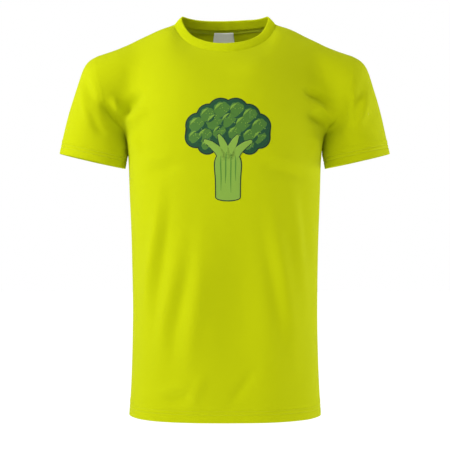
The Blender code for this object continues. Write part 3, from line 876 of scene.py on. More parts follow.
def add_turning(work, edges, panel, normal, turning, knit):
    """Folds the cloth under at an edge, and runs it up inside to its raw edge."""
    verts = [vert for edge in edges for vert in edge.verts]
    base = {vert: (vert.co.copy(), on_panel(vert.co, panel)[1]) for vert in verts}
    coords = {loop.vert: loop[knit].uv.copy() for vert in base for loop in vert.link_loops}
    sources = {vert: vert for vert in base}  # the vert on the fold that each vert comes from
    travelled, last = 0.0, (0.0, 0.0)
    for depth, rise in TURNED_PROFILE + ((TURNED_DEPTH, turning),):
        travelled += math.dist(last, (depth, rise))
        last = (depth, rise)
        made = bmesh.ops.extrude_edge_only(work, edges=edges)["geom"]
        fresh = of_type(made, bmesh.types.BMVert)
        ring = set(fresh)
        for vert in fresh:
            others = [edge.other_vert(vert) for edge in vert.link_edges]
            first = next(sources[other] for other in others if other not in ring)
            place, outward = base[first]
            if rise > 0:
                place, outward = on_panel(place + normal * rise, panel)
                vert.co = place - outward * depth
            else:
                vert.co = place - outward * depth + normal * rise
            sources[vert] = first
        for face in of_type(made, bmesh.types.BMFace):
            face.smooth = True
        edges = [edge for edge in of_type(made, bmesh.types.BMEdge) if ring.issuperset(edge.verts)]
        for vert in fresh:
            u, v = coords[sources[vert]]
            for loop in vert.link_loops:
                loop[knit].uv = (u, v - travelled)
    for vert in base:
        for loop in vert.link_loops:
            loop[knit].uv = coords[vert]


def add_panel(name, panel, side, edge_point, edge_normal, turning):
    """One cut piece of jersey, with its edge turned under in the given plane."""
    work = bmesh.new()
    work.from_mesh(FORM)
    rest = work.verts.layers.float_vector["rest"]
    knit = work.loops.layers.uv["knit"]
    index = PANELS.index(panel)
    others = [
        face
        for face in work.faces
        if face.material_index != index or face.calc_center_median().x * side < 0
    ]
    bmesh.ops.delete(work, geom=others, context="FACES")
    low = [
        edge
        for edge in work.edges
        if len(edge.link_faces) == 1
        and all(abs((vert[rest] - edge_point).dot(edge_normal)) < ON_EDGE for vert in edge.verts)
    ]
    add_turning(work, low, panel, edge_normal, turning, knit)
    for face in work.faces:
        face.material_index = 0
    mesh = bpy.data.meshes.new(name)
    work.to_mesh(mesh)
    work.free()
    piece = add_piece(name, mesh, JERSEY, [name.replace("_cloth", "")])
    solidify(piece, CLOTH, offset=-1.0)
    sharpen_cut_edges(piece)


def make_panels():
    """The four cut pieces."""
    for panel in PANELS[:2]:
        add_panel(
            panel + "_cloth", panel, 0, HEM_POINT, UP, HEM_TURNING
        )
    for name, side in SIDES:
        point, normal = cuff_plane(side)
        name += "_sleeve_cloth"
        add_panel(
            name, "sleeve", side, point, normal, CUFF_TURNING
        )


# ---- the neck rib

RIB_THICKNESS = 0.0026
RIB_BULGE = 0.0006
RIB_RELIEF = 0.00024
RIB_STEPS = 5  # columns for each rib
RIB_ROOT = 0.0015  # how far the band runs into the seam
RIB_SINK = 0.0006  # how far its outside is drawn in at the seam
PUCKER = (0.00025, 7.3, 0.008)  # height at the seam, ribs in one wave, and how far up it fades


def rib_lean(point):
    """How far the rib leans in over the neck: most on the shoulders, where it follows their slope."""
    front, side, back = RIB_LEANS
    angle = math.atan2(point[0], point[1] - SHOULDER_BACK)
    middle = back if point[1] > SHOULDER_BACK else front
    return math.radians(middle * math.cos(angle) ** 2 + side * math.sin(angle) ** 2)


def rib_profile():
    """The folded band's cross-section: height, distance outward, and outward direction (up, out)."""
    half = RIB_THICKNESS / 2
    straight = RIB_WIDTH - half
    profile = []
    for h in np.linspace(-RIB_ROOT, straight, 9):
        bulge = RIB_BULGE * math.sin(math.pi * max(0.0, h) / RIB_WIDTH)
        sink = RIB_SINK * math.exp(-((h / RIB_ROOT) ** 2))
        profile.append((h, bulge - sink, 0.0, 1.0))
    for a in np.linspace(math.pi / 2, -math.pi / 2, 6)[1:-1]:
        c, s = math.cos(a), math.sin(a)
        profile.append((straight + half * c, half * s - half, c, s))
    for h in np.linspace(straight, -RIB_ROOT, 7):
        profile.append((h, -RIB_THICKNESS, 0.0, -1.0))
    return profile


def smoothed(points, reach):
    """A closed line with each point moved to the mean of its neighbours up to reach places away."""
    return sum(np.roll(points, k, axis=0) for k in range(-reach, reach + 1)) / (2 * reach + 1)


def make_neck_rib():
    """A folded knit band that stands up from the neck seam and leans in over the neck."""
    seam = neck_line("front_panel")[:-1] + neck_line("back_panel")[:-1]
    columns = RIB_COUNT * RIB_STEPS
    length = line_length(seam + seam[:1])
    line = np.array([tuple(p) for p in resampled(seam + seam[:1], length / columns)[:-1]])
    line = smoothed(line, 14)
    along = unit(np.roll(line, -1, axis=0) - np.roll(line, 1, axis=0))
    profile = rib_profile()
    rows = [[] for _ in profile]
    for k, (point, way) in enumerate(zip(line, along)):
        inward = unit(vector(way[1], -way[0], 0))
        if inward @ (vector(0, SHOULDER_BACK, 0) - point) < 0:
            inward = -inward
        lean = rib_lean(point)
        up = inward * math.sin(lean) + vector(0, 0, math.cos(lean))
        out = unit(np.cross(way, up))
        out = -out if out @ inward > 0 else out
        ridge = RIB_RELIEF * math.cos(2 * math.pi * k / RIB_STEPS)
        pucker = PUCKER[0] * math.sin(2 * math.pi * k / (RIB_STEPS * PUCKER[1]))
        for row, (h, o, up_share, out_share) in zip(rows, profile):
            waver = pucker * max(0.0, 1 - h / PUCKER[2])
            row.append(point + up * (h + ridge * up_share) + out * (o + waver + ridge * out_share))
    rows.append(rows[0])
    across = [length * k / columns for k in range(columns + 1)]
    up = travelled_along([place[:2] for place in profile + profile[:1]])
    mesh = grid_mesh(RIB_NAME, rows, across, up, closed=True, outward=out)
    work = bmesh.new()
    work.from_mesh(mesh)
    bmesh.ops.remove_doubles(work, verts=work.verts, dist=1e-7)
    bmesh.ops.recalc_face_normals(work, faces=work.faces)
    work.to_mesh(mesh)
    work.free()
    piece = add_piece(RIB_NAME, mesh, RIB, ["neck_rib"])


# ---- stitches

STITCH_RINGS = 6  # rings of points along one stitch, and points in each
STITCH_SIDES = 6
STITCH_SINK = 0.0009  # how far below the cloth the rows inside lie
STITCH_RISE = 1.9  # of the middle of a stitch over its ends, in thread radii
STITCH_DIVE = 0.9  # of its ends into the cloth
END_THICKNESS = 0.45  # of its ends, as a share of its middle's
THREAD_FLATNESS = 0.8


def add_stitches(name, line, panels, replaces=(), inside=False):
    """A row of single stitches along a line on the cloth, each a short bead that dives at its ends."""
    places, normals = [], []
    for point in line:
        hits = [on_panel(point, panel) for panel in panels]
        place, normal = min(hits, key=lambda hit: (hit[0] - point).length)
        places.append(place)
        normals.append(-normal if inside else normal)
    points, normals = np.array(places), np.array(normals)
    if inside:
        points = points + normals * (CLOTH + STITCH_SINK)
    travelled = travelled_along(points)
    count = round(travelled[-1] / STITCH_LENGTH)
    step = travelled[-1] / count
    shares = np.linspace(0, 1, STITCH_RINGS)
    at = (np.arange(count)[:, None] + 0.5 + (shares - 0.5) * STITCH_SHARE) * step

    def along(values):
        return np.stack([np.interp(at, travelled, values[:, k]) for k in range(3)], axis=-1)

    centre, normal = along(points), unit(along(normals))
    side = np.cross(unit(np.gradient(centre, axis=1)), normal)
    arch = np.sin(math.pi * shares)
    rise = THREAD_RADIUS * (STITCH_RISE * arch - STITCH_DIVE)
    centre = centre + normal * rise[None, :, None]
    thick = THREAD_RADIUS * (END_THICKNESS + (1 - END_THICKNESS) * np.sqrt(arch))[None, :, None]
    verts = []
    for angle in 2 * math.pi * np.arange(STITCH_SIDES) / STITCH_SIDES:
        out = math.cos(angle) * side + THREAD_FLATNESS * math.sin(angle) * normal
        verts.append(centre + thick * out)
    verts = np.stack(verts, axis=2).reshape(-1, 3)
    faces = []
    ring = np.arange(STITCH_SIDES)
    onward = np.roll(ring, -1)
    for stitch in range(count):
        starts = (stitch * STITCH_RINGS + np.arange(STITCH_RINGS)) * STITCH_SIDES
        for low, high in zip(starts, starts[1:]):
            faces.extend(np.stack([low + ring, high + ring, high + onward, low + onward], axis=1).tolist())
        faces.append((starts[0] + ring).tolist())
        faces.append((starts[-1] + ring)[::-1].tolist())
    mesh = bpy.data.meshes.new(name)
    mesh.from_pydata(verts.tolist(), [], faces)
    return add_piece(name, mesh, THREAD, replaces)


def add_needle_row(node, line, panels):
    """One row of stitching as it shows outside, and as it shows inside."""
    add_stitches(node.replace("stitch", "stitches"), line, panels, [node])
    return add_stitches(node + "es_inside", line, panels, inside=True)


def make_edge_stitching():
    """Two needle rows through each turning: the upper one just inside the raw edge."""
    for row, drop in (("upper", STITCH_EDGE), ("lower", STITCH_EDGE + NEEDLE_SPACING)):
        line = needle_line(set(PANELS[:2]), 0, HEM_POINT, UP, HEM_TURNING - drop)
        add_needle_row("hem_stitch_" + row, line, PANELS[:2])
        for name, side in SIDES:
            line = needle_line({"sleeve"}, side, *cuff_plane(side), CUFF_TURNING - drop)
            add_needle_row(name + "_cuff_stitch_" + row, line, PANELS[2:])


# ---- inside seams, tape and labels

ALLOWANCE_WIDTH = 0.006
ALLOWANCE_THICKNESS = 0.0011
WRAP_LENGTH = 0.0024  # of one overlock stitch
WRAP_DEPTH = 0.00025
ONTO_TAPE = (0, -0.0006, 0.0001)  # from the cloth's inside to the tape's
TAPE_THICKNESS = 0.0005
TAPE_DEPTH = 0.0006  # inside the cloth, and how much further in its middle stands
TAPE_SWELL = 0.0003
LABEL_THICKNESS = 0.00018
LABEL_TOP = 0.0035  # how far the neck label reaches up under the tape
LEAF_DEPTHS = (0.0017, 0.0010)  # of the neck label's front leaf, and how far it curls away below
LEAF_GAP = 0.0007
FOLD_DROP = 0.0003
CARE_DEPTHS = (0.0010, 0.0040)
LABEL_SHIFT = 0.0025  # how far the neck label hangs off the middle


def add_allowance(name, line, panel, side, start=0.0, end=0.0):
    """An overlocked seam allowance, turned to the right of the line's travel where side is 1.

    Its surface rises and falls with the threads that wrap it, slanting across it.
    """
    line = resampled(line, WRAP_LENGTH / 4, start, end)
    shares = np.linspace(0, 1, 6)
    distances = [side * (0.0008 + ALLOWANCE_WIDTH * share) for share in shares]
    depths = [CLOTH + 0.0002 + 0.0003 * math.sin(math.pi * share) for share in shares]
    rows = side_rows(line, panel, distances, depths)
    inward = -on_panel(rows[0][0], panel)[1]
    for row, share in zip(rows, shares):
        for k, point in enumerate(row):
            wave = math.cos(2 * math.pi * (k / 4 + share * 0.8))
            row[k] = point - on_panel(point, panel)[1] * WRAP_DEPTH * (1 + wave) / 2
    across = [WRAP_LENGTH / 4 * k for k in range(len(line))]
    mesh = grid_mesh(name, rows, across, [abs(distance) for distance in distances], outward=inward)
    piece = add_piece(name, mesh, OVERLOCK, [name.replace("_overlock", "_seam")])
    solidify(piece, ALLOWANCE_THICKNESS)


def make_seam_allowances():
    """Each is named with its line, its panel, its side, and how far short of its line's ends it stops."""
    for name, side in SIDES:
        seams = (
            ("side", side_line(side), "back_panel", side, 0.001, 0.002),
            ("shoulder", shoulder_line(side), "back_panel", -side, 0.001, 0.001),
            ("sleeve", sleeve_line(side), "sleeve", side, 0.001, 0.006),
            ("armhole", armhole_line(side), "sleeve", side, 0.004, 0.004),
        )
        for seam, *rest in seams:
            add_allowance(f"{name}_{seam}_overlock", *rest)
    add_allowance("front_neck_overlock", neck_line("front_panel"), "front_panel", 1, 0.001, 0.001)


def make_neck_tape():
    """A tape over the back neck seam, inside, with a needle row near each edge."""
    seam = neck_line("back_panel")
    line = resampled(seam, 0.002, 0.002, 0.002)
    shares = np.linspace(-0.06, 1, 7)
    distances = [TAPE_WIDTH * share for share in shares]
    swell = [TAPE_SWELL * math.sin(math.pi * max(0.0, share)) for share in shares]
    depths = [CLOTH + TAPE_DEPTH + rise for rise in swell]
    node = "neck_tape"
    add_strip(node + "_twill", line, "back_panel", distances, depths, TAPE_THICKNESS, TAPE, [node])
    for row, distance in (("upper", STITCH_EDGE), ("lower", TAPE_WIDTH - STITCH_EDGE)):
        outer = side_rows(line, "back_panel", (distance,), (0.0,))[0]
        inner = add_needle_row("tape_stitch_" + row, outer, PANELS[1:2])
        inner.data.transform(Matrix.Translation(ONTO_TAPE))


def add_label(node, line, panel, distances, depths):
    add_strip(
        node + "_satin", line, panel, distances, depths, LABEL_THICKNESS, LABEL, [node]
    )


def make_neck_label():
    """A blank folded label that hangs from the tape, inside the middle of the back."""
    width, height = NECK_LABEL_SIZE
    seam = neck_line("back_panel")
    margin = (line_length(seam) - width) / 2
    line = resampled(seam, width / 16, margin + LABEL_SHIFT, margin - LABEL_SHIFT)
    top = TAPE_WIDTH - LABEL_TOP
    shares = np.linspace(0, 1, 24)
    # Down the front leaf, round the fold and up the back leaf.
    distances = [top + height * share for share in shares]
    curl = [CLOTH + LEAF_DEPTHS[0] + LEAF_DEPTHS[1] * share**2 for share in shares]
    back = [depth - LEAF_GAP for depth in curl]
    distances = distances + [top + height + FOLD_DROP] + distances[:2:-1]
    depths = curl + [(curl[-1] + back[-1]) / 2] + back[:2:-1]
    add_label("neck_label", line, "back_panel", distances, depths)


def make_care_label():
    """A blank label in the left side seam, lying forward against the inside of the front."""
    width, height = CARE_LABEL_SIZE
    seam = side_line(1)
    above = line_length(seam) - CARE_LABEL_HEIGHT - height
    line = resampled(seam, height / 16, CARE_LABEL_HEIGHT, above)
    shares = np.linspace(0, 1, 16)
    distances = [-0.001 - width * share for share in shares]
    depths = [CLOTH + CARE_DEPTHS[0] + CARE_DEPTHS[1] * share**2 for share in shares]
    add_label("care_label", line, "front_panel", distances, depths)


# ---- the print

PRINT_PLACE = (0.005, -0.2025)  # X and Z of the middle of the crown
INK_CELL = 0.003
INK_THICKNESS = 0.00008
# How far each layer of ink lies above the cloth, in millimetres.
LIFTS = {
    "edge": 0.10, "stalk_edge": 0.16, "crown": 0.22, "floret": 0.28, "branch_edge": 0.46,
    "shades": 0.48, "gleams": 0.52, "trunk": 0.54, "branch": 0.56, "grooves": 0.62,
}  # fmt: skip
FLORET_STEP = 0.01
EDGES = {"crown": 2.2, "stalk": 1.8, "branch": 1.2}  # width of the dark edge round each, in millimetres
PAINTED_LIGHT = -0.75  # the direction that the painted light comes from, in radians from straight up
# Round lobes of the crown, in millimetres from its middle: across, up and radius.
CROWN_LOBES = (
    (0, 0, 34), (-12, 29, 21), (13, 30, 20), (34, 21, 19), (51, 4, 20), (53, -15, 17),
    (36, -27, 15), (14, -28, 14), (-11, -27, 14), (-35, -27, 15), (-54, -14, 17), (-50, 5, 20),
    (-33, 22, 18), (-30, 0, 24), (30, 0, 24),
)  # fmt: skip
# Florets inside it, painted one over the other.
FLORETS = (
    (-10, 31, 15), (15, 31, 14), (37, 21, 14), (-34, 23, 13), (53, 4, 14), (-52, 6, 14),
    (-55, -14, 12), (54, -15, 12), (-22, 11, 15), (26, 7, 15), (2, 14, 14), (-38, -12, 13),
    (38, -12, 13), (-36, -28, 9), (36, -28, 9), (-14, -6, 12), (12, -8, 12),
)  # fmt: skip
# The stalk and its branches: each a row of (across, up, half width).
TRUNK = ((0, -38, 13), (0, -50, 20), (0, -62, 22), (0, -84, 20.5), (0, -108, 20), (0, -116, 20))
BRANCHES = (
    ((-9, -48, 7), (-17, -36, 6.5), (-29, -26, 5), (-38, -21, 3)),
    ((-3, -46, 7), (-6, -32, 6.5), (-11, -20, 5), (-15, -12, 2.5)),
    ((4, -46, 7), (6, -32, 6.5), (12, -20, 5), (16, -13, 2.5)),
    ((10, -48, 7), (18, -36, 6.5), (29, -27, 5), (38, -22, 3)),
)
GROOVES = (
    ((-12, -46, 0.4), (-12.5, -60, 1.2), (-11.5, -82, 1.0), (-12, -104, 0.3)),
    ((-3, -40, 0.4), (-4, -58, 1.2), (-3.5, -76, 0.9), (-4.5, -92, 0.3)),
    ((5, -42, 0.4), (5, -60, 1.1), (4.5, -84, 1.1), (5, -108, 0.3)),
    ((12.5, -46, 0.4), (13, -58, 1.2), (12.5, -74, 0.9), (13, -88, 0.3)),
)


def crown_outline(grow):
    """The outer edge of the lobes together, seen from the crown's middle, grown by some millimetres."""
    outline = []
    for angle in np.linspace(0, 2 * math.pi, 240, endpoint=False):
        ray = np.array((math.sin(angle), math.cos(angle)))
        reach = 0.0
        for x, z, radius in CROWN_LOBES:
            along = ray @ (x, z)
            inside = (radius + grow) ** 2 - (x * x + z * z - along * along)
            if inside > 0:
                reach = max(reach, along + math.sqrt(inside))
        outline.append(tuple(ray * reach))
    return outline


def strip_outline(path, grow=0.0):
    """The outline of a tapering strip with round ends."""
    rows = np.array(path, float)
    fine = np.linspace(0, len(rows) - 1, 14)
    x, z, half = (np.interp(fine, range(len(rows)), rows[:, k]) for k in range(3))
    way = unit(np.stack([np.gradient(x), np.gradient(z)], axis=1))
    normal = np.stack([-way[:, 1], way[:, 0]], axis=1)
    spine = np.stack([x, z], axis=1)
    half = half + grow
    left = spine + normal * half[:, None]
    right = (spine - normal * half[:, None])[::-1]

    def cap(centre, radius, start):
        angles = [start - math.pi * k / 8 for k in range(1, 8)]
        return [(centre[0] + radius * math.cos(a), centre[1] + radius * math.sin(a)) for a in angles]

    head = math.atan2(normal[-1, 1], normal[-1, 0])
    tail = math.atan2(-normal[0, 1], -normal[0, 0])
    return (
        [tuple(p) for p in left]
        + cap(spine[-1], half[-1], head)
        + [tuple(p) for p in right]
        + cap(spine[0], half[0], tail)
    )


def trunk_outline(grow=0.0):
    """The trunk, which widens where the branches leave it and ends in a shallow curve."""
    rows = np.array(TRUNK, float)
    spine = smooth_path(rows[:, 1:], 20)
    right = [(half + grow, z) for z, half in spine]
    left = [(-half - grow, z) for z, half in spine[::-1]]
    end_z, end_half = spine[-1][0], spine[-1][1] + grow
    angles = np.linspace(0, math.pi, 11)[1:-1]
    end = [(end_half * math.cos(a), end_z - (5 + grow) * math.sin(a)) for a in angles]
    return right + end + left


def round_points(x, z, reaches, angles):
    """Points at these distances from a middle, in these directions from straight up."""
    return [(x + r * math.sin(a), z + r * math.cos(a)) for r, a in zip(reaches, angles)]


def blob(x, z, radius, bumps, depth, turn=0.0, count=48):
    """A round shape with a scalloped edge."""
    angles = [2 * math.pi * k / count for k in range(count)]
    reaches = [radius * (1 - depth + depth * abs(math.sin(bumps * a / 2 + turn))) for a in angles]
    return round_points(x, z, reaches, angles)


def crescent(x, z, radius, middle, half_angle, thickness, count=14):
    """A sliver along part of a circle's edge, thickest in its middle."""
    angles = [middle + half_angle * (2 * k / count - 1) for k in range(count + 1)]
    outer = round_points(x, z, [radius] * len(angles), angles)
    reaches = [radius - thickness * math.sin(math.pi * k / count) for k in range(1, count)]
    return outer + round_points(x, z, reaches, angles[1:-1])[::-1]


def dots(x, z, radius, seed):
    """A scatter of small buds over the upper left of a floret."""
    angles = [-0.9 + 0.5 * k + 0.4 * math.sin(seed * 3.1 + k * 1.7) for k in range(7)]
    reaches = [radius * (0.28 + 0.22 * ((k * 2 + seed) % 3)) for k in range(7)]
    places = round_points(x, z, reaches, angles)
    return [blob(*place, 0.75 + 0.2 * (k % 2), 2, 0.0, 0, 8) for k, place in enumerate(places)]


def add_ink(name, outlines, layer, material, replaces=(), above=0.0):
    """A layer of ink on the front: flat shapes, cut up small and laid on the cloth. In millimetres."""
    work = bmesh.new()
    for outline in outlines:
        spots = [(PRINT_PLACE[0] + x * MM, 0, PRINT_PLACE[1] + z * MM) for x, z in outline]
        work.faces.new([work.verts.new(spot) for spot in spots])
    bmesh.ops.triangulate(work, faces=work.faces[:])
    spots = np.array([tuple(vert.co) for vert in work.verts])
    for axis in (0, 2):
        low, high = spots[:, axis].min(), spots[:, axis].max()
        direction = Vector((axis == 0, 0, axis == 2))
        for at in np.arange(math.ceil(low / INK_CELL) * INK_CELL, high, INK_CELL):
            bmesh.ops.bisect_plane(
                work,
                geom=work.verts[:] + work.edges[:] + work.faces[:],
                plane_co=direction * float(at),
                plane_no=direction,
            )
    tree, faces = TREES["front_panel"]
    lift = (LIFTS[layer] + above) * MM
    for vert in work.verts:
        start = Vector((vert.co.x, -0.5, vert.co.z))
        place, _, index, _ = tree.ray_cast(start, Vector((0, 1, 0)))
        vert.co = place + smooth_normal(place, faces[index]) * lift
    work.normal_update()
    for face in work.faces:
        if face.normal.y > 0:
            face.normal_flip()
    mesh = bpy.data.meshes.new(name)
    work.to_mesh(mesh)
    work.free()
    piece = add_piece(name, mesh, material, replaces)
    solidify(piece, INK_THICKNESS)


def make_print():
    """A head of broccoli in six inks."""
    add_ink("print_edge", [crown_outline(EDGES["crown"])], "edge", INKS["edge"], ["chest_print"])
    add_ink("print_stalk_edge", [trunk_outline(EDGES["stalk"])], "stalk_edge", INKS["edge"])
    add_ink("print_crown", [crown_outline(0.0)], "crown", INKS["crown"])
    shades, gleams = [], []
    for k, (x, z, radius) in enumerate(FLORETS):
        floret = [blob(x, z, radius, 9, 0.10, 0.7 * k)]
        add_ink(f"print_floret_{k + 1}", floret, "floret", INKS["floret"], above=k * FLORET_STEP)
        shades.append(crescent(x, z, radius * 0.97, PAINTED_LIGHT + math.pi, 1.15, radius * 0.42))
        gleams.append(crescent(x, z, radius * 0.82, PAINTED_LIGHT, 0.85, radius * 0.26))
        gleams.extend(dots(x, z, radius, k))
    add_ink("print_shades", shades, "shades", INKS["crown"])
    add_ink("print_gleams", gleams, "gleams", INKS["gleam"])
    add_ink("print_trunk", [trunk_outline()], "trunk", INKS["stalk"])
    for k, branch in enumerate(BRANCHES, 1):
        wide = strip_outline(branch, EDGES["branch"])
        add_ink(f"print_branch_edge_{k}", [wide], "branch_edge", INKS["edge"])
        add_ink(f"print_branch_{k}", [strip_outline(branch)], "branch", INKS["stalk"])
    add_ink("print_grooves", [strip_outline(groove) for groove in GROOVES], "grooves", INKS["groove"])


# ---- materials

LIME = (0.565, 0.630, 0.0012)
INK_COLOURS = {
    "edge": (0.004, 0.030, 0.012),
    "crown": (0.006, 0.066, 0.022),
    "floret": (0.062, 0.178, 0.020),
    "gleam": (0.175, 0.345, 0.032),
    "stalk": (0.215, 0.385, 0.042),
    "groove": (0.085, 0.235, 0.024),
}


def new_material(name, roughness, sheen=0.0, specular=0.3, sheen_tint=(1, 1, 1)):
    material = bpy.data.materials.new(name)
    material.use_nodes = True
    shader = material.node_tree.nodes["Principled BSDF"]
    shader.inputs["Roughness"].default_value = roughness
    shader.inputs["Specular IOR Level"].default_value = specular
    shader.inputs["Sheen Weight"].default_value = sheen
    shader.inputs["Sheen Roughness"].default_value = 0.5
    shader.inputs["Sheen Tint"].default_value = (*sheen_tint, 1)
    return material


def add_node(material, kind, inputs=None, **settings):
    """A node with its settings, and with its inputs set to values or joined to sockets."""
    node = material.node_tree.nodes.new(kind)
    for key, value in settings.items():
        setattr(node, key, value)
    for key, value in (inputs or {}).items():
        if isinstance(value, bpy.types.NodeSocket):
            material.node_tree.links.new(value, node.inputs[key])
        else:
            node.inputs[key].default_value = value
    return node


def calc(material, operation, *values):
    """The output of a Math node."""
    inputs = dict(enumerate(values))
    return add_node(material, "ShaderNodeMath", inputs, operation=operation).outputs[0]


def knit_coordinates(material):
    uv = add_node(material, "ShaderNodeUVMap", uv_map="knit").outputs[0]
    split = add_node(material, "ShaderNodeSeparateXYZ", {0: uv})
    return split.outputs[0], split.outputs[1]


def zigzag(material, value, period, shift=0.0):
    """A wave of straight slopes, from 0 to 0.5 and back."""
    turns = calc(material, "MULTIPLY_ADD", value, 1 / period, shift)
    return calc(material, "ABSOLUTE", calc(material, "SUBTRACT", calc(material, "FRACT", turns), 0.5))


def noise_of(material, scale, detail=2.0):
    place = add_node(material, "ShaderNodeTexCoord").outputs["Object"]
    inputs = {"Vector": place, "Scale": scale, "Detail": detail}
    return add_node(material, "ShaderNodeTexNoise", inputs).outputs[0]


def blended(material, factor, first, second):
    """A colour between two, by a factor from 0 to 1."""
    mix = add_node(material, "ShaderNodeMix", data_type="RGBA")
    material.node_tree.links.new(factor, mix.inputs[0])
    for socket, colour in ((mix.inputs[6], first), (mix.inputs[7], second)):
        if isinstance(colour, bpy.types.NodeSocket):
            material.node_tree.links.new(colour, socket)
        else:
            socket.default_value = (*colour, 1)
    return mix.outputs[2]


def finish_material(material, colour, height, distance):
    """Joins a colour and a bump to the shader."""
    links = material.node_tree.links
    shader = material.node_tree.nodes["Principled BSDF"]
    links.new(colour, shader.inputs["Base Color"])
    bump = add_node(material, "ShaderNodeBump", {"Height": height, "Distance": distance, "Strength": 1.0})
    links.new(bump.outputs[0], shader.inputs["Normal"])
    return material


def shaded(colour, amount):
    return tuple(channel * amount for channel in colour)


def knit_material(name, colour, wale, course, shift, depth):
    """Plain knitting: columns of small V-shaped stitches."""
    material = new_material(name, 0.85, sheen=0.16, specular=0.06, sheen_tint=(0.8, 0.9, 0.08))
    u, v = knit_coordinates(material)
    fold = zigzag(material, u, wale, shift)
    arm = calc(material, "MULTIPLY_ADD", fold, 4.0, -1.0)
    leg = calc(material, "SUBTRACT", 1.0, calc(material, "ABSOLUTE", arm))
    rise = calc(material, "MULTIPLY_ADD", fold, 1.3 * course, v)
    loop = zigzag(material, rise, course)
    height = calc(material, "MULTIPLY_ADD", loop, 1.1, calc(material, "MULTIPLY", leg, 0.6))
    yarn = noise_of(material, 2600.0)
    height = calc(material, "MULTIPLY_ADD", yarn, 0.25, height)
    broad = noise_of(material, 16.0, 3.0)
    tone = blended(material, broad, shaded(colour, 0.975), shaded(colour, 1.025))
    # Painted shade: the colour darkens to 0.86 of itself in the knit's low places, between the loops.
    groove = calc(material, "MULTIPLY", height, 0.8)
    groove.node.use_clamp = True
    tone = blended(material, groove, shaded(colour, 0.86), tone)
    return finish_material(material, tone, height, depth)


def thread_material(name, colour, stripe=None):
    material = new_material(name, 0.6, sheen=0.15, specular=0.35)
    height = noise_of(material, 1800.0)
    if stripe:
        u, v = knit_coordinates(material)
        slant = calc(material, "MULTIPLY_ADD", v, 0.35, u)
        fibre = calc(material, "MULTIPLY", height, 0.4)
        height = calc(material, "ADD", zigzag(material, slant, stripe), fibre)
    # The colour follows the bump's height, darker where it is low and lighter where it is high: on the
    # overlock this is painted shade between the wraps and painted highlight on them, and the fibre noise
    # adds uneven tone.
    tone = blended(material, height, shaded(colour, 0.84), shaded(colour, 1.1))
    return finish_material(material, tone, height, 0.00012)


def tape_material(colour):
    """Herringbone twill, which slants one way above its middle and the other way below."""
    material = new_material("tape", 0.8, sheen=0.15, specular=0.25)
    u, v = knit_coordinates(material)
    arm = zigzag(material, v, TAPE_WIDTH / 2)
    slant = calc(material, "MULTIPLY_ADD", arm, TAPE_WIDTH / 2, u)
    rib = zigzag(material, slant, 0.0009)
    height = calc(material, "MULTIPLY_ADD", noise_of(material, 1500.0), 0.2, rib)
    # Painted shade and highlight: the colour is darker in the low places of the twill and lighter on its
    # raised ribs, with a little uneven tone from the noise.
    tone = blended(material, height, shaded(colour, 0.85), shaded(colour, 1.08))
    return finish_material(material, tone, height, 0.00015)


def label_material(colour):
    """White satin, woven with fine threads that run across it."""
    material = new_material("label", 0.42, sheen=0.05, specular=0.5)
    u, v = knit_coordinates(material)
    lengthwise = calc(material, "MULTIPLY", zigzag(material, u, 0.0012), 0.4)
    weave = calc(material, "ADD", zigzag(material, v, 0.0003), lengthwise)
    tone = blended(material, noise_of(material, 60.0), shaded(colour, 0.97), colour)
    return finish_material(material, tone, weave, 0.00004)


def ink_material(name, colour):
    """Ink that soaked into the knit a little, so it is slightly uneven and dull."""
    material = new_material("ink_" + name, 0.62, sheen=0.04, specular=0.3)
    grain = noise_of(material, 900.0)
    tone = blended(material, grain, shaded(colour, 0.88), shaded(colour, 1.12))
    return finish_material(material, tone, grain, 0.00008)


def floor_material(colour):
    """A pale floor with a glow of its own, which hides its far edge."""
    material = new_material("floor", 0.9, specular=0.1)
    shader = material.node_tree.nodes["Principled BSDF"]
    shader.inputs["Emission Color"].default_value = (1, 1, 1, 1)
    shader.inputs["Emission Strength"].default_value = FLOOR_GLOW
    grain = noise_of(material, 3.0, 3.0)
    tone = blended(material, grain, shaded(colour, 0.99), colour)
    return finish_material(material, tone, grain, 0.0001)


# ---- floor, lights and camera

CAMERA_DISTANCE = 2.5
CAMERA_HEIGHT = -0.365
VIEW_WIDTH = 0.7965  # what the camera takes in from side to side, at the side seams
SENSOR = 36.0
FLOOR_DROP = 1.15
FLOOR_REACH = 14.0
FLOOR_GLOW = 0.48
ROOM_LIGHT = 0.425
# Each light's name, kind, power, place, target and own settings. A sun has only its direction.
LIGHTS = (
    ("key", "AREA", 13.0, (-1.3, -0.62, 0.35), (0, 0, -0.2), {"shape": "DISK", "size": 0.45}),
    ("rim", "AREA", 10.0, (1.7, 0.35, -0.2), (0, 0, -0.35), {"shape": "DISK", "size": 0.5}),
    (
        "neck", "SPOT", 26.0, (-0.16, -0.80, 0.60), (-0.01, 0.075, 0.0),
        {"spot_size": math.radians(13), "spot_blend": 1.0, "shadow_soft_size": 0.08},
    ),
    ("top", "SUN", 0.9, (0, 0, 0), (0.2, 0.32, -0.9), {"angle": math.radians(40)}),
)  # fmt: skip


def make_floor():
    places = np.linspace(-FLOOR_REACH, FLOOR_REACH, 9)
    shares = np.linspace(0, 1, 9)
    rows = [[(x, y, -FLOOR_DROP) for x in places] for y in places]
    mesh = grid_mesh("floor", rows, shares, shares, outward=UP)
    material = floor_material((0.93, 0.93, 0.93))
    mesh.materials.append(material)
    in_scene("floor", mesh)


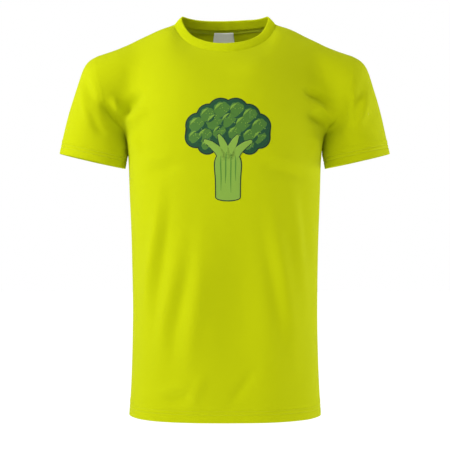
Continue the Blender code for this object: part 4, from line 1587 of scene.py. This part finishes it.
def make_lights():
    """A pale room, a soft key light from the left and in front, a rim, the neck's and one from above."""
    world = bpy.data.worlds.new("studio")
    bpy.context.scene.world = world
    world.use_nodes = True
    nodes, links = world.node_tree.nodes, world.node_tree.links
    path = nodes.new("ShaderNodeLightPath")
    mix = nodes.new("ShaderNodeMixShader")
    links.new(path.outputs["Is Camera Ray"], mix.inputs[0])
    room, seen = nodes.new("ShaderNodeBackground"), nodes["Background"]
    for slot, (shader, strength) in enumerate(((room, ROOM_LIGHT), (seen, 1.0)), 1):
        shader.inputs["Color"].default_value = (1, 1, 1, 1)
        shader.inputs["Strength"].default_value = strength
        links.new(shader.outputs[0], mix.inputs[slot])
    links.new(mix.outputs[0], nodes["World Output"].inputs["Surface"])
    for name, kind, power, place, target, settings in LIGHTS:
        light = bpy.data.lights.new(name, kind)
        light.energy = power
        for key, value in settings.items():
            setattr(light, key, value)
        lamp = in_scene(name, light)
        lamp.location = place
        lamp.rotation_euler = (Vector(target) - Vector(place)).to_track_quat("-Z", "Y").to_euler()


def make_camera():
    data = bpy.data.cameras.new("camera")
    data.sensor_width = SENSOR
    data.lens = SENSOR * CAMERA_DISTANCE / VIEW_WIDTH
    camera = in_scene("camera", data)
    camera.location = (0, -CAMERA_DISTANCE, CAMERA_HEIGHT)
    camera.rotation_euler = (math.pi / 2, 0, 0)
    bpy.context.scene.camera = camera
    bpy.context.scene.view_settings.view_transform = "Standard"


# ---- the shirt

make_camera()
make_lights()
make_floor()
JERSEY = knit_material("jersey", LIME, KNIT_PITCH, KNIT_PITCH * 0.85, 0.0, 0.00022)
RIB = knit_material("rib", LIME, 0.0020, 0.0011, 0.5, 0.00022)
THREAD = thread_material("thread", shaded(LIME, 1.04))
OVERLOCK = thread_material("overlock", shaded(LIME, 0.95), WRAP_LENGTH / 3)
TAPE = tape_material(shaded(LIME, 0.98))
LABEL = label_material((0.86, 0.87, 0.86))
INKS = {name: ink_material(name, colour) for name, colour in INK_COLOURS.items()}

FORM = fine_form()
shaped_points = shape_form(FORM)
FORM.vertices.foreach_set("co", shaped_points.astype(np.float32).ravel())
FORM.update()
POINTS = [Vector(point) for point in shaped_points]
NORMALS = [Vector(item.vector) for item in FORM.vertex_normals]
WORK = bmesh.new()
WORK.from_mesh(FORM)
TREES = {panel: panel_tree(panel) for panel in PANELS}

make_panels()
make_neck_rib()
make_edge_stitching()
make_seam_allowances()
make_neck_tape()
make_neck_label()
make_care_label()
make_print()
WORK.free()
